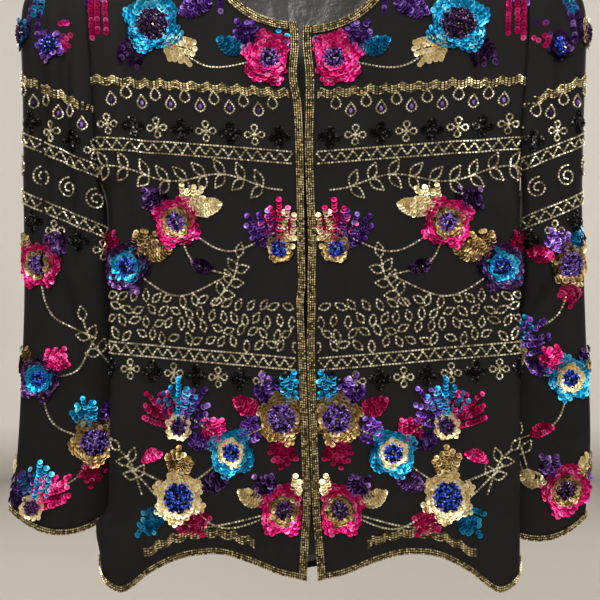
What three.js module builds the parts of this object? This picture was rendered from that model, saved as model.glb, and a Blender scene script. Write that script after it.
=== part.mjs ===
// A collarless beaded evening jacket hanging on a plain hanger.
// Millimetres, +Z up, the front faces -Y and +X is to the viewer's right.
// The origin is where the hanger's hook rests on its rail.
//
// Cloth coordinates: "along" runs round the body from the centre front (0) past the side
// seam to the centre back, "drop" is the distance below the high point of the shoulder.

import * as THREE from 'three';

// ---- driving sizes -------------------------------------------------------------------
const SHOULDER_BELOW_HOOK = 100;
const HALF_GIRTH = 500;
const SIDE_SEAM = HALF_GIRTH / 2;
const NECK_HALF_WIDTH = 90;
const BACK_NECK_DROP = 20;
const SHOULDER_END = { along: 230, drop: 38 };
const UNDERARM_DROP = 250;
const ARMHOLE_CUT = SIDE_SEAM - SHOULDER_END.along;
const SHOULDER_ROUND = 72;
const CUFF_WAVE = 13;

const CLOTH = 1.8;
const LINING = 1.2;
const SEAM = 0.3;
const EDGING = { lift: 0.5, thick: 2, front: 9.5, neck: 9.5, hem: 7.5 };

const LEFT = -1;
const RIGHT = 1;
const FRONT = 1;
const BACK = -1;

// The left front hangs a little higher at the neck than the right one.
const FRONT_NECK_DROP = { [LEFT]: 86, [RIGHT]: 90.5 };

// ---- tables: one row for each section ----------------------------------------------
// Half widths to the left and right of the middle, half depth, and the side's round.
const BODY = [
  { drop: -40, left: 252, right: 252, depth: 27, turn: 20 },
  { drop: 38, left: 252, right: 252, depth: 27, turn: 20 },
  { drop: 62, left: 254, right: 259, depth: 27, turn: 20 },
  { drop: 125, left: 249, right: 256, depth: 27, turn: 20 },
  { drop: 190, left: 242, right: 249, depth: 26, turn: 20 },
  { drop: 228, left: 236, right: 244, depth: 26, turn: 20 },
  { drop: 250, left: 232, right: 242, depth: 25, turn: 20 },
  { drop: 284, left: 222, right: 242, depth: 24, turn: 18 },
  { drop: 340, left: 220, right: 242, depth: 23, turn: 15 },
  { drop: 480, left: 219, right: 242, depth: 22, turn: 14 },
  { drop: 626, left: 221, right: 242, depth: 24, turn: 14 },
  { drop: 643, left: 235, right: 242, depth: 25, turn: 14 },
  { drop: 655, left: 235, right: 242, depth: 25, turn: 15 },
  { drop: 676, left: 231, right: 242, depth: 26, turn: 15 },
  { drop: 716, left: 228, right: 241, depth: 27, turn: 16 },
];

// The two front edges: where their middle line hangs, and half the gap between them.
const FRONT_EDGE = [
  { drop: 84, middle: -6, gap: 3.6 },
  { drop: 95, middle: -5.2, gap: 1.9 },
  { drop: 112, middle: -4.9, gap: 1.5 },
  { drop: 145, middle: -4.5, gap: 4.1 },
  { drop: 178, middle: -1.6, gap: 1.8 },
  { drop: 227, middle: -1.1, gap: 0.5 },
  { drop: 332, middle: 1.5, gap: 1.7 },
  { drop: 376, middle: 1.5, gap: 0.8 },
  { drop: 392, middle: 0.6, gap: 2 },
  { drop: 447, middle: 1.2, gap: 0.5 },
  { drop: 612, middle: 6.8, gap: 0.4 },
  { drop: 656, middle: 7.5, gap: 3.1 },
  { drop: 695, middle: 8.2, gap: 6.1 },
];

// The scalloped hem of a front, from the centre front to the side seam. The back mirrors it.
const HEM_CURVE = [
  { along: 0, drop: 701 },
  { along: 30, drop: 695 },
  { along: 70, drop: 681 },
  { along: 108, drop: 673 },
  { along: 145, drop: 677 },
  { along: 180, drop: 693 },
  { along: 216, drop: 717 },
  { along: 238, drop: 705 },
  { along: 250, drop: 686 },
];

// Soft folds of the body: a ridge stands out, a trough (negative) falls in.
const BODY_FOLDS = [
  { side: LEFT, along: 176, from: 60, to: 330, width: 13, rise: -4.5 },
  { side: LEFT, along: 200, from: 70, to: 360, width: 12, rise: 4 },
  { side: LEFT, along: 62, from: 250, to: 640, width: 22, rise: -3 },
  { side: LEFT, along: 150, from: 400, to: 760, width: 24, rise: 4 },
  { side: LEFT, along: 96, from: 480, to: 760, width: 20, rise: -4 },
  { side: RIGHT, along: 188, from: 50, to: 300, width: 12, rise: -4 },
  { side: RIGHT, along: 160, from: 60, to: 260, width: 14, rise: 3 },
  { side: RIGHT, along: 140, from: 330, to: 760, width: 26, rise: -4 },
  { side: RIGHT, along: 58, from: 380, to: 700, width: 24, rise: 3 },
  { side: RIGHT, along: 196, from: 470, to: 770, width: 20, rise: 4 },
  { side: LEFT, along: 322, from: 120, to: 520, width: 20, rise: -4 },
  { side: LEFT, along: 402, from: 330, to: 770, width: 26, rise: 5 },
  { side: LEFT, along: 456, from: 260, to: 700, width: 22, rise: -4 },
  { side: RIGHT, along: 310, from: 100, to: 430, width: 18, rise: -4 },
  { side: RIGHT, along: 372, from: 360, to: 760, width: 26, rise: 4 },
  { side: RIGHT, along: 440, from: 300, to: 770, width: 24, rise: -5 },
];

// Sleeve sections from the armhole to the cuff. Each is a flattened ring between its
// outer and its inner edge, with its half depth and how far back it hangs.
const SLEEVES = {
  [LEFT]: [
    { outX: 243, outDrop: 38, inX: 232, inDrop: 250, half: 17, back: 0 },
    { outX: 270, outDrop: 36.5, inX: 233, inDrop: 254, half: 21, back: 0 },
    { outX: 296, outDrop: 39, inX: 231.2, inDrop: 259, half: 24, back: 1 },
    { outX: 312, outDrop: 48, inX: 228.8, inDrop: 266, half: 26, back: 3 },
    { outX: 319, outDrop: 66, inX: 226.2, inDrop: 275, half: 27, back: 5 },
    { outX: 321, outDrop: 100, inX: 223.2, inDrop: 287, half: 28, back: 8 },
    { outX: 320, outDrop: 152, inX: 222.2, inDrop: 305, half: 28, back: 11 },
    { outX: 320, outDrop: 210, inX: 221.3, inDrop: 332, half: 27, back: 14 },
    { outX: 321, outDrop: 268, inX: 220, inDrop: 365, half: 26, back: 17 },
    { outX: 321, outDrop: 328, inX: 217.5, inDrop: 402, half: 25, back: 21 },
    { outX: 322, outDrop: 388, inX: 215.5, inDrop: 440, half: 23, back: 24 },
    { outX: 324, outDrop: 446, inX: 214.5, inDrop: 480, half: 21, back: 25 },
    { outX: 327, outDrop: 502, inX: 214.5, inDrop: 522, half: 18, back: 26 },
    { outX: 330, outDrop: 554, inX: 216, inDrop: 564, half: 16, back: 27 },
    { outX: 334, outDrop: 602, inX: 218, inDrop: 606, half: 14, back: 28 },
    { outX: 340, outDrop: 647, inX: 220, inDrop: 649, half: 13, back: 29 },
  ],
  [RIGHT]: [
    { outX: 243, outDrop: 38, inX: 242, inDrop: 250, half: 17, back: 0 },
    { outX: 268, outDrop: 36.5, inX: 244, inDrop: 254, half: 21, back: 0 },
    { outX: 293, outDrop: 39, inX: 244.5, inDrop: 259, half: 24, back: 1 },
    { outX: 309, outDrop: 48, inX: 244.5, inDrop: 266, half: 26, back: 3 },
    { outX: 316, outDrop: 66, inX: 244.5, inDrop: 275, half: 27, back: 5 },
    { outX: 318, outDrop: 100, inX: 244.5, inDrop: 287, half: 28, back: 8 },
    { outX: 317, outDrop: 154, inX: 244.5, inDrop: 305, half: 28, back: 11 },
    { outX: 316, outDrop: 212, inX: 244.5, inDrop: 332, half: 27, back: 14 },
    { outX: 316, outDrop: 270, inX: 244.5, inDrop: 365, half: 26, back: 18 },
    { outX: 319, outDrop: 330, inX: 240, inDrop: 402, half: 24, back: 23 },
    { outX: 322, outDrop: 390, inX: 234, inDrop: 440, half: 22, back: 27 },
    { outX: 325, outDrop: 448, inX: 228, inDrop: 482, half: 19, back: 29 },
    { outX: 329, outDrop: 505, inX: 222, inDrop: 524, half: 16, back: 30 },
    { outX: 330, outDrop: 558, inX: 217, inDrop: 566, half: 14, back: 30 },
    { outX: 328, outDrop: 608, inX: 214, inDrop: 610, half: 13, back: 30 },
    { outX: 324, outDrop: 655, inX: 212, inDrop: 656, half: 12.5, back: 30 },
  ],
};

// Folds of the sleeves: lines down a sleeve's front or back face.
const SLEEVE_FOLDS = [
  { side: LEFT, face: FRONT, topX: 293, endX: 289, from: 20, to: 350, width: 8, rise: -7 },
  { side: LEFT, face: FRONT, topX: 268, endX: 262, from: 30, to: 370, width: 8, rise: -9 },
  { side: LEFT, face: FRONT, topX: 281, endX: 247, from: 320, to: 520, width: 9, rise: -6 },
  { side: LEFT, face: BACK, topX: 286, endX: 280, from: 40, to: 360, width: 10, rise: -8 },
  { side: LEFT, face: BACK, topX: 262, endX: 290, from: 340, to: 600, width: 10, rise: -5 },
  { side: RIGHT, face: FRONT, topX: 284, endX: 280, from: 40, to: 240, width: 8, rise: -6 },
  { side: RIGHT, face: FRONT, topX: 262, endX: 258, from: 60, to: 300, width: 8, rise: -5 },
  { side: RIGHT, face: FRONT, topX: 292, endX: 240, from: 350, to: 450, width: 9, rise: -7 },
  { side: RIGHT, face: BACK, topX: 276, endX: 284, from: 40, to: 380, width: 10, rise: -8 },
  { side: RIGHT, face: BACK, topX: 250, endX: 288, from: 360, to: 600, width: 10, rise: -4 },
];

// Drops of the rows at the side: down the armhole, then down the side seam.
const ARMHOLE_ROWS = [38, 42, 52, 70, 95, 125, 155, 185, 212, 233, 245, 250];
const SIDE_ROWS = [268, 300, 340, 385, 430, 475, 520, 565, 610, 648];

// Columns across a panel at its top edge, from the edging to the neck point and armhole.
const NECK_COLUMNS = [25, 45, 62, 76, 85, 88.8, NECK_HALF_WIDTH];
const SHOULDER_COLUMNS = [112, 135, 158, 182, 206, SHOULDER_END.along];
const BACK_NECK_COLUMNS = [0, 30, 56, 76, 86, NECK_HALF_WIDTH];
// The same columns lower down, where they spread evenly and close up round the side.
const FRONT_COLUMNS = [26, 47, 68, 89, 110, 132, 154, 176, 196, 212, 225, 238, SIDE_SEAM];
const BACK_COLUMNS = [0, 22, 45, 68, 92, 116, 142, 168, 192, 213, 232, SIDE_SEAM];

// ---- small maths -------------------------------------------------------------------
const mix = (a, b, share) => a + (b - a) * share;
const clamp01 = (value) => Math.min(1, Math.max(0, value));
const ease = (value) => {
  const t = clamp01(value);
  return t * t * (3 - 2 * t);
};

// A smooth reading of one column of a table whose rows are ordered by their drop.
function readTable(rows, column, at, key = 'drop') {
  const last = rows.length - 1;
  const place = Math.min(Math.max(at, rows[0][key]), rows[last][key]);
  const next = Math.max(1, rows.findIndex((row) => row[key] >= place));
  const low = rows[next - 1];
  const high = rows[next];
  const slope = (index) => {
    const before = rows[Math.max(index - 1, 0)];
    const after = rows[Math.min(index + 1, last)];
    return (after[column] - before[column]) / (after[key] - before[key]);
  };
  const span = high[key] - low[key];
  const t = (place - low[key]) / span;
  const rise = high[column] - low[column];
  const limit = (value) => (rise === 0 ? 0 : Math.sign(rise) * Math.min(
    Math.abs(value * span), 3 * Math.abs(rise)) * (Math.sign(value) === Math.sign(rise) ? 1 : 0));
  const start = limit(slope(next - 1));
  const end = limit(slope(next));
  return low[column] + t * start + t * t * (3 * rise - 2 * start - end)
    + t * t * t * (start + end - 2 * rise);
}

// How strongly a fold shows at a drop: nothing at its two ends, full in the middle.
function foldStrength(fold, drop) {
  const t = (drop - fold.from) / (fold.to - fold.from);
  return t <= 0 || t >= 1 ? 0 : Math.sin(Math.PI * t) ** 0.7;
}

const bell = (distance, width) => Math.exp(-((distance / width) ** 2));

// ---- the body's surface ------------------------------------------------------------
const toSideSeam = (along) => Math.min(along, HALF_GIRTH - along);

function shoulderDrop(along) {
  const run = SHOULDER_END.along - NECK_HALF_WIDTH;
  return (SHOULDER_END.drop * (toSideSeam(along) - NECK_HALF_WIDTH)) / run;
}

// The cloth rounds over the shoulder from the front to the back.
function shoulderRounding(along, drop) {
  const below = clamp01((drop - shoulderDrop(along)) / SHOULDER_ROUND);
  return Math.sqrt(Math.max(0, 1 - (1 - below) ** 2));
}

function bodyFold(side, along, drop) {
  let rise = 0;
  for (const fold of BODY_FOLDS) {
    if (fold.side !== side) continue;
    rise += fold.rise * foldStrength(fold, drop) * bell(along - fold.along, fold.width);
  }
  return rise;
}

function bodyPoint(side, along, drop) {
  const halfWidth = readTable(BODY, side === LEFT ? 'left' : 'right', drop);
  const depth = readTable(BODY, 'depth', drop);
  const turn = readTable(BODY, 'turn', drop);
  const flat = SIDE_SEAM - (turn * Math.PI) / 2;
  const isFront = along <= SIDE_SEAM;
  const reach = toSideSeam(along);
  const middle = isFront ? side * readTable(FRONT_EDGE, 'middle', drop) : 0;
  const edge = halfWidth - turn;
  const angle = Math.max(0, (reach - flat) / turn);
  const across = reach < flat ? mix(middle, edge, reach / flat) : edge + turn * Math.sin(angle);
  const crown = (1 - clamp01(reach / flat) ** 3) ** 2;
  const rounding = shoulderRounding(along, drop);
  const rise = bodyFold(side, along, drop) * rounding;
  const out = turn * Math.cos(angle) + (depth - turn) * crown;
  const facing = isFront ? -1 : 1;
  return new THREE.Vector3(
    side * (across + rise * Math.sin(angle)),
    facing * (out * rounding + rise * Math.cos(angle) + SEAM / 2),
    -SHOULDER_BELOW_HOOK - drop,
  );
}

const hemDrop = (along) => readTable(HEM_CURVE, 'drop', toSideSeam(along), 'along');

function armholeAlong(drop) {
  const share = clamp01((drop - SHOULDER_END.drop) / (UNDERARM_DROP - SHOULDER_END.drop));
  return SIDE_SEAM - ARMHOLE_CUT * Math.sqrt(Math.max(0, 1 - share ** 3));
}

function neckDrop(along, depth) {
  return depth * Math.sqrt(Math.max(0, 1 - (along / NECK_HALF_WIDTH) ** 2));
}

const topDrop = (along, neckDepth) => (
  along < NECK_HALF_WIDTH ? neckDrop(along, neckDepth) : shoulderDrop(along));

// Shares of the way down a panel, the same for every column: armhole, side and hem band.
function rowShares() {
  const end = hemDrop(SIDE_SEAM);
  const rows = [...ARMHOLE_ROWS, ...SIDE_ROWS, end - EDGING.hem, end];
  return rows.map((drop) => (drop - rows[0]) / (end - rows[0]));
}

// Where a panel ends at the side, for the row at this share of the way down.
function sideAlong(share) {
  const drop = mix(SHOULDER_END.drop, hemDrop(SIDE_SEAM), share);
  return drop < UNDERARM_DROP ? armholeAlong(drop) : SIDE_SEAM;
}

// ---- solids from grids of points ---------------------------------------------------
// The outward normals of a grid, by differences along its rows and columns.
function gridNormals(grid, hand, closed) {
  const rows = grid.length;
  const columns = grid[0].length;
  const column = (c) => (closed ? (c + columns) % columns : Math.min(Math.max(c, 0), columns - 1));
  return grid.map((line, r) => line.map((point, c) => {
    const down = new THREE.Vector3().subVectors(
      grid[Math.min(r + 1, rows - 1)][c], grid[Math.max(r - 1, 0)][c]);
    const across = new THREE.Vector3().subVectors(line[column(c + 1)], line[column(c - 1)]);
    return new THREE.Vector3().crossVectors(down, across).multiplyScalar(hand).normalize();
  }));
}

// Keeps a front (-1) or the back (1) on its own side of the plane through the seams.
function keepToSide(point, facing) {
  if (facing !== 0) point.y = facing * Math.max(facing * point.y, SEAM / 2);
  return point;
}

// A wall between the grid moved out by "lift" and the same grid moved out by "lift + thick".
function wall(grid, hand, { lift = 0, thick, closed = false, facing = 0 }) {
  const normals = gridNormals(grid, hand, closed);
  const rows = grid.length;
  const columns = grid[0].length;
  const positions = [];
  for (const layer of [lift + thick, lift]) {
    grid.forEach((line, r) => line.forEach((point, c) => {
      const moved = point.clone().addScaledVector(normals[r][c], layer);
      positions.push(...keepToSide(moved, facing).toArray());
    }));
  }
  const index = [];
  const outer = (r, c) => r * columns + (c % columns);
  const inner = (r, c) => outer(r, c) + rows * columns;
  const quad = (a, b, c, d) => {
    const corners = hand > 0 ? [a, b, c, d] : [a, d, c, b];
    index.push(corners[0], corners[1], corners[2], corners[0], corners[2], corners[3]);
  };
  const spans = closed ? columns : columns - 1;
  for (let r = 0; r < rows - 1; r += 1) {
    for (let c = 0; c < spans; c += 1) {
      quad(outer(r, c), outer(r + 1, c), outer(r + 1, c + 1), outer(r, c + 1));
      quad(inner(r, c), inner(r, c + 1), inner(r + 1, c + 1), inner(r + 1, c));
    }
  }
  for (let c = 0; c < spans; c += 1) {
    quad(outer(0, c), outer(0, c + 1), inner(0, c + 1), inner(0, c));
    quad(outer(rows - 1, c), inner(rows - 1, c), inner(rows - 1, c + 1), outer(rows - 1, c + 1));
  }
  if (!closed) {
    for (let r = 0; r < rows - 1; r += 1) {
      quad(outer(r, 0), inner(r, 0), inner(r + 1, 0), outer(r + 1, 0));
      quad(outer(r, columns - 1), outer(r + 1, columns - 1), inner(r + 1, columns - 1),
        inner(r, columns - 1));
    }
  }
  const geometry = new THREE.BufferGeometry();
  geometry.setAttribute('position', new THREE.Float32BufferAttribute(positions, 3));
  geometry.setIndex(index);
  geometry.computeVertexNormals();
  return geometry;
}

const clothWall = (grid, hand, options) => wall(
  grid, hand, { lift: -CLOTH, thick: CLOTH, ...options });
const edgingWall = (grid, hand, options) => wall(
  grid, hand, { lift: EDGING.lift, thick: EDGING.thick, ...options });
const ON_FRONT = { facing: -1 };
const ON_BACK = { facing: 1 };
const TUBE = { closed: true };

// ---- panels ------------------------------------------------------------------------
// Cloth coordinates of a front's grid: column 0 is the front edge, column 1 its edging.
function frontCells(side) {
  const neck = FRONT_NECK_DROP[side];
  const tops = [...NECK_COLUMNS, ...SHOULDER_COLUMNS];
  return rowShares().map((share) => {
    const seamAlong = sideAlong(share) - SEAM / 2;
    const cell = (top, column) => {
      const topShare = (top - EDGING.front) / (SHOULDER_END.along - EDGING.front);
      const lowShare = (FRONT_COLUMNS[column] - EDGING.front) / (SIDE_SEAM - EDGING.front);
      const along = mix(EDGING.front, seamAlong, mix(topShare, lowShare, ease(share / 0.4)));
      return { along, drop: mix(topDrop(top, neck), hemDrop(along), share) };
    };
    const edgeCell = (along) => (
      { along, drop: mix(topDrop(along, neck), hemDrop(along), share) });
    return [edgeCell(0), edgeCell(EDGING.front), ...tops.map(cell)];
  });
}

// The front edge itself stands back from the middle line by half the gap.
function frontPoint(side, { along, drop }) {
  const gap = readTable(FRONT_EDGE, 'gap', drop);
  const fade = 1 - ease(along / (SIDE_SEAM / 2));
  return bodyPoint(side, along + gap * fade, drop);
}

function backCells() {
  const tops = [...BACK_NECK_COLUMNS, ...SHOULDER_COLUMNS];
  return rowShares().map((share) => {
    const seamInset = sideAlong(share) - SEAM / 2;
    const half = tops.map((top, column) => {
      const lowShare = BACK_COLUMNS[column] / SIDE_SEAM;
      const inset = seamInset * mix(top / SHOULDER_END.along, lowShare, ease(share / 0.4));
      const start = topDrop(top, BACK_NECK_DROP);
      return { inset, drop: mix(start, hemDrop(HALF_GIRTH - inset), share) };
    });
    const right = half.slice(1).reverse().map((cell) => ({ ...cell, side: RIGHT }));
    const left = half.slice(1).map((cell) => ({ ...cell, side: LEFT }));
    return [...right, { ...half[0], side: RIGHT }, ...left];
  });
}

const backPoint = ({ side, inset, drop }) => bodyPoint(side, HALF_GIRTH - inset, drop);
const lastRows = (grid) => grid.slice(-2);

const frontGrid = (side) => (
  frontCells(side).map((line) => line.map((cell) => frontPoint(side, cell))));
const backGrid = () => backCells().map((line) => line.map(backPoint));

// ---- edgings -----------------------------------------------------------------------
const FRONT_EDGING_COLUMNS = 2;

function frontEdging(side) {
  const grid = frontGrid(side).map((line) => line.slice(0, FRONT_EDGING_COLUMNS));
  return edgingWall(grid, side, ON_FRONT);
}

// The hem's edging starts a seam's width beyond the front edging.
function frontHemEdging(side) {
  const cells = lastRows(frontCells(side)).map((line) => line.slice(1).map((cell, column) => (
    column === 0 ? { ...cell, along: cell.along + SEAM } : cell)));
  const grid = cells.map((line) => line.map((cell) => frontPoint(side, cell)));
  return edgingWall(grid, side, ON_FRONT);
}

const backHemEdging = () => edgingWall(lastRows(backGrid()), 1, ON_BACK);

// A band of even width along the neck's curve, from one angle of it to another.
function neckBand(depth, angles, pointAt) {
  const insets = [0, EDGING.neck / 2, EDGING.neck];
  return insets.map((inset) => angles.map((angle) => {
    const along = NECK_HALF_WIDTH * Math.sin(angle);
    const drop = depth * Math.cos(angle);
    const outAlong = depth * Math.sin(angle);
    const outDrop = NECK_HALF_WIDTH * Math.cos(angle);
    const length = Math.hypot(outAlong, outDrop);
    const placed = {
      along: along + (inset * outAlong) / length,
      drop: drop + (inset * outDrop) / length,
    };
    const seam = shoulderDrop(placed.along);
    return pointAt({ along: placed.along, drop: Math.max(placed.drop, seam + SEAM) });
  }));
}

// Angles from the front edge to the neck point, closer together where the neck turns up.
function frontNeckAngles(from, steps) {
  return Array.from({ length: steps + 1 }, (_, step) => (
    Math.PI / 2 - (Math.PI / 2 - from) * (1 - step / steps) ** 2));
}

function frontNeckEdging(side) {
  const start = Math.asin((EDGING.front + 2 * SEAM) / NECK_HALF_WIDTH);
  const band = neckBand(FRONT_NECK_DROP[side], frontNeckAngles(start, 18),
    (cell) => frontPoint(side, cell));
  return edgingWall(band, side, ON_FRONT);
}

function backNeckEdging() {
  const steps = 24;
  const angles = Array.from({ length: steps + 1 }, (_, step) => Math.PI * (step / steps - 0.5));
  const columns = angles.map((angle) => {
    const side = angle < 0 ? RIGHT : LEFT;
    return neckBand(BACK_NECK_DROP, [Math.abs(angle)],
      ({ along, drop }) => backPoint({ side, inset: along, drop }));
  });
  const grid = columns[0].map((_, row) => columns.map((column) => column[row][0]));
  return edgingWall(grid, 1, ON_BACK);
}

// ---- sleeves -----------------------------------------------------------------------
// Angles round a sleeve that meet the panels' armhole rows, front first, then the back.
function sleeveAngles() {
  const reach = UNDERARM_DROP - SHOULDER_END.drop;
  const front = ARMHOLE_ROWS.map((drop) => Math.acos(
    Math.max(-1, 1 - (2 * (drop - SHOULDER_END.drop)) / reach)));
  const back = front.slice(1, -1).reverse().map((angle) => 2 * Math.PI - angle);
  return [...front, ...back];
}

function armholePoint(side, angle) {
  const share = (1 - Math.cos(angle)) / 2;
  const drop = mix(SHOULDER_END.drop, UNDERARM_DROP, share);
  const along = armholeAlong(drop);
  const onFront = angle <= Math.PI;
  const point = bodyPoint(side, onFront ? along : HALF_GIRTH - along, drop);
  const atSeam = share === 0 || share === 1 || Math.sin(angle) === 0;
  if (atSeam) point.y = 0;
  point.x += side * SEAM;
  return point;
}

function sleeveFold(side, angle, x, drop) {
  const face = Math.sin(angle) >= 0 ? FRONT : BACK;
  let rise = 0;
  for (const fold of SLEEVE_FOLDS) {
    if (fold.side !== side || fold.face !== face) continue;
    const line = mix(fold.topX, fold.endX, clamp01((drop - fold.from) / (fold.to - fold.from)));
    rise += fold.rise * foldStrength(fold, drop) * bell(x - line, fold.width);
  }
  return rise * Math.min(1, 1.6 * Math.abs(Math.sin(angle)));
}

// A point of a sleeve: its angle round the ring, and the ring's place in the table.
function sleevePoint(side, angle, place) {
  const rows = SLEEVES[side].map((row, index) => ({ ...row, index }));
  const read = (column) => readTable(rows, column, place, 'index');
  const toOut = (1 + Math.cos(angle)) / 2;
  const around = Math.sign(Math.sin(angle)) * Math.abs(Math.sin(angle)) ** 0.75;
  const x = mix(read('inX'), read('outX'), toOut);
  const atCuff = ease((place - 12) / 3);
  const scallop = -CUFF_WAVE * Math.cos(2 * angle) * atCuff;
  const drop = mix(read('inDrop'), read('outDrop'), toOut) + scallop;
  const out = read('half') * around + Math.sign(around) * sleeveFold(side, angle, x, drop);
  const ring = new THREE.Vector3(side * x, read('back') - out, -SHOULDER_BELOW_HOOK - drop);
  return armholePoint(side, angle).lerp(ring, ease(place / 1.6));
}

function sleeveGrid(side) {
  const last = SLEEVES[side].length - 1;
  const lastSpan = SLEEVES[side][last].outDrop - SLEEVES[side][last - 1].outDrop;
  const places = Array.from({ length: last + 1 }, (_, place) => place);
  places.splice(last, 0, last - EDGING.hem / lastSpan);
  return places.map((place) => sleeveAngles().map((angle) => sleevePoint(side, angle, place)));
}

const cuffEdging = (side) => edgingWall(lastRows(sleeveGrid(side)), -side, TUBE);

// ---- back lining -------------------------------------------------------------------
const LINING_SIDE_COLUMNS = 2;
const LINING_TOP_ROWS = 1;

// The lining lies on the back's inside, from the shoulders to just above the hem edging.
function backLining() {
  const grid = backGrid();
  const trimmed = grid.slice(LINING_TOP_ROWS, -1).map(
    (line) => line.slice(LINING_SIDE_COLUMNS, line.length - LINING_SIDE_COLUMNS));
  return wall(trimmed, 1, { lift: -CLOTH - 2 * SEAM - LINING, thick: LINING });
}

// ---- hanger ------------------------------------------------------------------------
const HANGER = { reach: 222, halfThick: 6, halfHigh: 10, wire: 2, hookRadius: 20 };
const HANGER_REST = CLOTH + 2 * SEAM;

// The bar's top edge follows the shoulders and bends smoothly over the neck.
function barTop(x) {
  const slope = SHOULDER_END.drop / (SHOULDER_END.along - NECK_HALF_WIDTH);
  const reach = Math.abs(x);
  if (reach > NECK_HALF_WIDTH) return slope * (reach - NECK_HALF_WIDTH) + HANGER_REST;
  const bend = (slope * NECK_HALF_WIDTH) / 2;
  return HANGER_REST - bend + bend * (reach / NECK_HALF_WIDTH) ** 2;
}

function ringSolid(rings) {
  const sides = rings[0].length;
  const positions = rings.flat().flatMap((point) => point.toArray());
  const index = [];
  for (let r = 0; r < rings.length - 1; r += 1) {
    for (let c = 0; c < sides; c += 1) {
      const [a, b] = [r * sides + c, r * sides + ((c + 1) % sides)];
      index.push(a, b, b + sides, a, b + sides, a + sides);
    }
  }
  const last = (rings.length - 1) * sides;
  for (let c = 1; c < sides - 1; c += 1) {
    index.push(0, c + 1, c);
    index.push(last, last + c, last + c + 1);
  }
  const geometry = new THREE.BufferGeometry();
  geometry.setAttribute('position', new THREE.Float32BufferAttribute(positions, 3));
  geometry.setIndex(index);
  geometry.computeVertexNormals();
  return geometry;
}

function hangerBar() {
  const sides = 12;
  const ends = [0, 2, 6, 14];
  const spans = 16;
  const inner = HANGER.reach - ends.at(-1);
  const left = ends.map((step) => -HANGER.reach + step);
  const middle = Array.from({ length: spans - 1 }, (_, k) => mix(-inner, inner, (k + 1) / spans));
  const right = ends.map((step) => HANGER.reach - step).reverse();
  const rings = [...left, ...middle, ...right].map((x) => {
    const toEnd = clamp01((HANGER.reach - Math.abs(x)) / ends.at(-1));
    const scale = mix(0.35, 1, Math.sqrt(1 - (1 - toEnd) ** 2));
    const centre = -SHOULDER_BELOW_HOOK - barTop(x) - HANGER.halfHigh;
    return Array.from({ length: sides }, (_, k) => {
      const angle = (2 * Math.PI * k) / sides;
      return new THREE.Vector3(x, HANGER.halfThick * scale * Math.cos(angle),
        centre + HANGER.halfHigh * scale * Math.sin(angle));
    });
  });
  return ringSolid(rings);
}

// A wire that rises from the bar, bends aside and rounds back over the rail.
function hangerHook() {
  const radius = HANGER.hookRadius;
  const centre = HANGER.wire - radius;
  const joint = centre - 2 * radius * Math.sin(Math.PI / 3);
  const foot = -SHOULDER_BELOW_HOOK - barTop(0) + SEAM;
  const points = [new THREE.Vector2(0, foot), new THREE.Vector2(0, mix(foot, joint, 0.5))];
  for (let step = 0; step <= 4; step += 1) {
    const angle = Math.PI - (step / 4) * (Math.PI / 3);
    points.push(new THREE.Vector2(
      radius + radius * Math.cos(angle), joint + radius * Math.sin(angle)));
  }
  for (let step = 1; step <= 16; step += 1) {
    const angle = -Math.PI / 3 + (step / 16) * (Math.PI * 1.47);
    points.push(new THREE.Vector2(radius * Math.cos(angle), centre + radius * Math.sin(angle)));
  }
  const sides = 8;
  const rings = points.map((point, k) => {
    const before = points[Math.max(k - 1, 0)];
    const after = points[Math.min(k + 1, points.length - 1)];
    const heading = k === 0 ? new THREE.Vector2(0, 1) : after.clone().sub(before).normalize();
    return Array.from({ length: sides }, (_, side) => {
      const angle = (2 * Math.PI * side) / sides;
      const out = HANGER.wire * Math.cos(angle);
      return new THREE.Vector3(point.x + heading.y * out, HANGER.wire * Math.sin(angle),
        point.y - heading.x * out);
    });
  });
  return ringSolid(rings);
}

// ---- assembly ----------------------------------------------------------------------
const FINISH = {
  crepe: { color: 0x1c1b1d, roughness: 0.8, metalness: 0 },
  lining: { color: 0x2a2a2c, roughness: 0.35, metalness: 0 },
  goldBeads: { color: 0xa8893f, roughness: 0.3, metalness: 0.8 },
  wood: { color: 0x9a6b3f, roughness: 0.5, metalness: 0 },
  steel: { color: 0xc9ccd0, roughness: 0.25, metalness: 1 },
};

const jacket = new THREE.Group();

function add(name, geometry, finish) {
  const mesh = new THREE.Mesh(geometry, new THREE.MeshStandardMaterial(FINISH[finish]));
  mesh.name = name;
  jacket.add(mesh);
}

for (const [side, name] of [[LEFT, 'left'], [RIGHT, 'right']]) {
  add(`front_${name}`, clothWall(frontGrid(side), side, ON_FRONT), 'crepe');
  add(`sleeve_${name}`, clothWall(sleeveGrid(side), -side, TUBE), 'crepe');
  add(`front_edging_${name}`, frontEdging(side), 'goldBeads');
  add(`neck_edging_${name}`, frontNeckEdging(side), 'goldBeads');
  add(`hem_edging_${name}`, frontHemEdging(side), 'goldBeads');
  add(`cuff_edging_${name}`, cuffEdging(side), 'goldBeads');
}
add('back', clothWall(backGrid(), 1, ON_BACK), 'crepe');
add('neck_edging_back', backNeckEdging(), 'goldBeads');
add('hem_edging_back', backHemEdging(), 'goldBeads');
add('back_lining', backLining(), 'lining');
add('hanger_bar', hangerBar(), 'wood');
add('hanger_hook', hangerHook(), 'steel');

export default jacket;
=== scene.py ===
"""A collarless beaded evening jacket on a plain hanger: its cloth, beadwork and studio.

Lengths in the tables are millimetres. A place on the cloth is given as "along", round the
body from the centre front (0) past the side seam (250) to the centre back (500), and
"drop", down from the high point of the shoulder.
"""

import math

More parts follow.
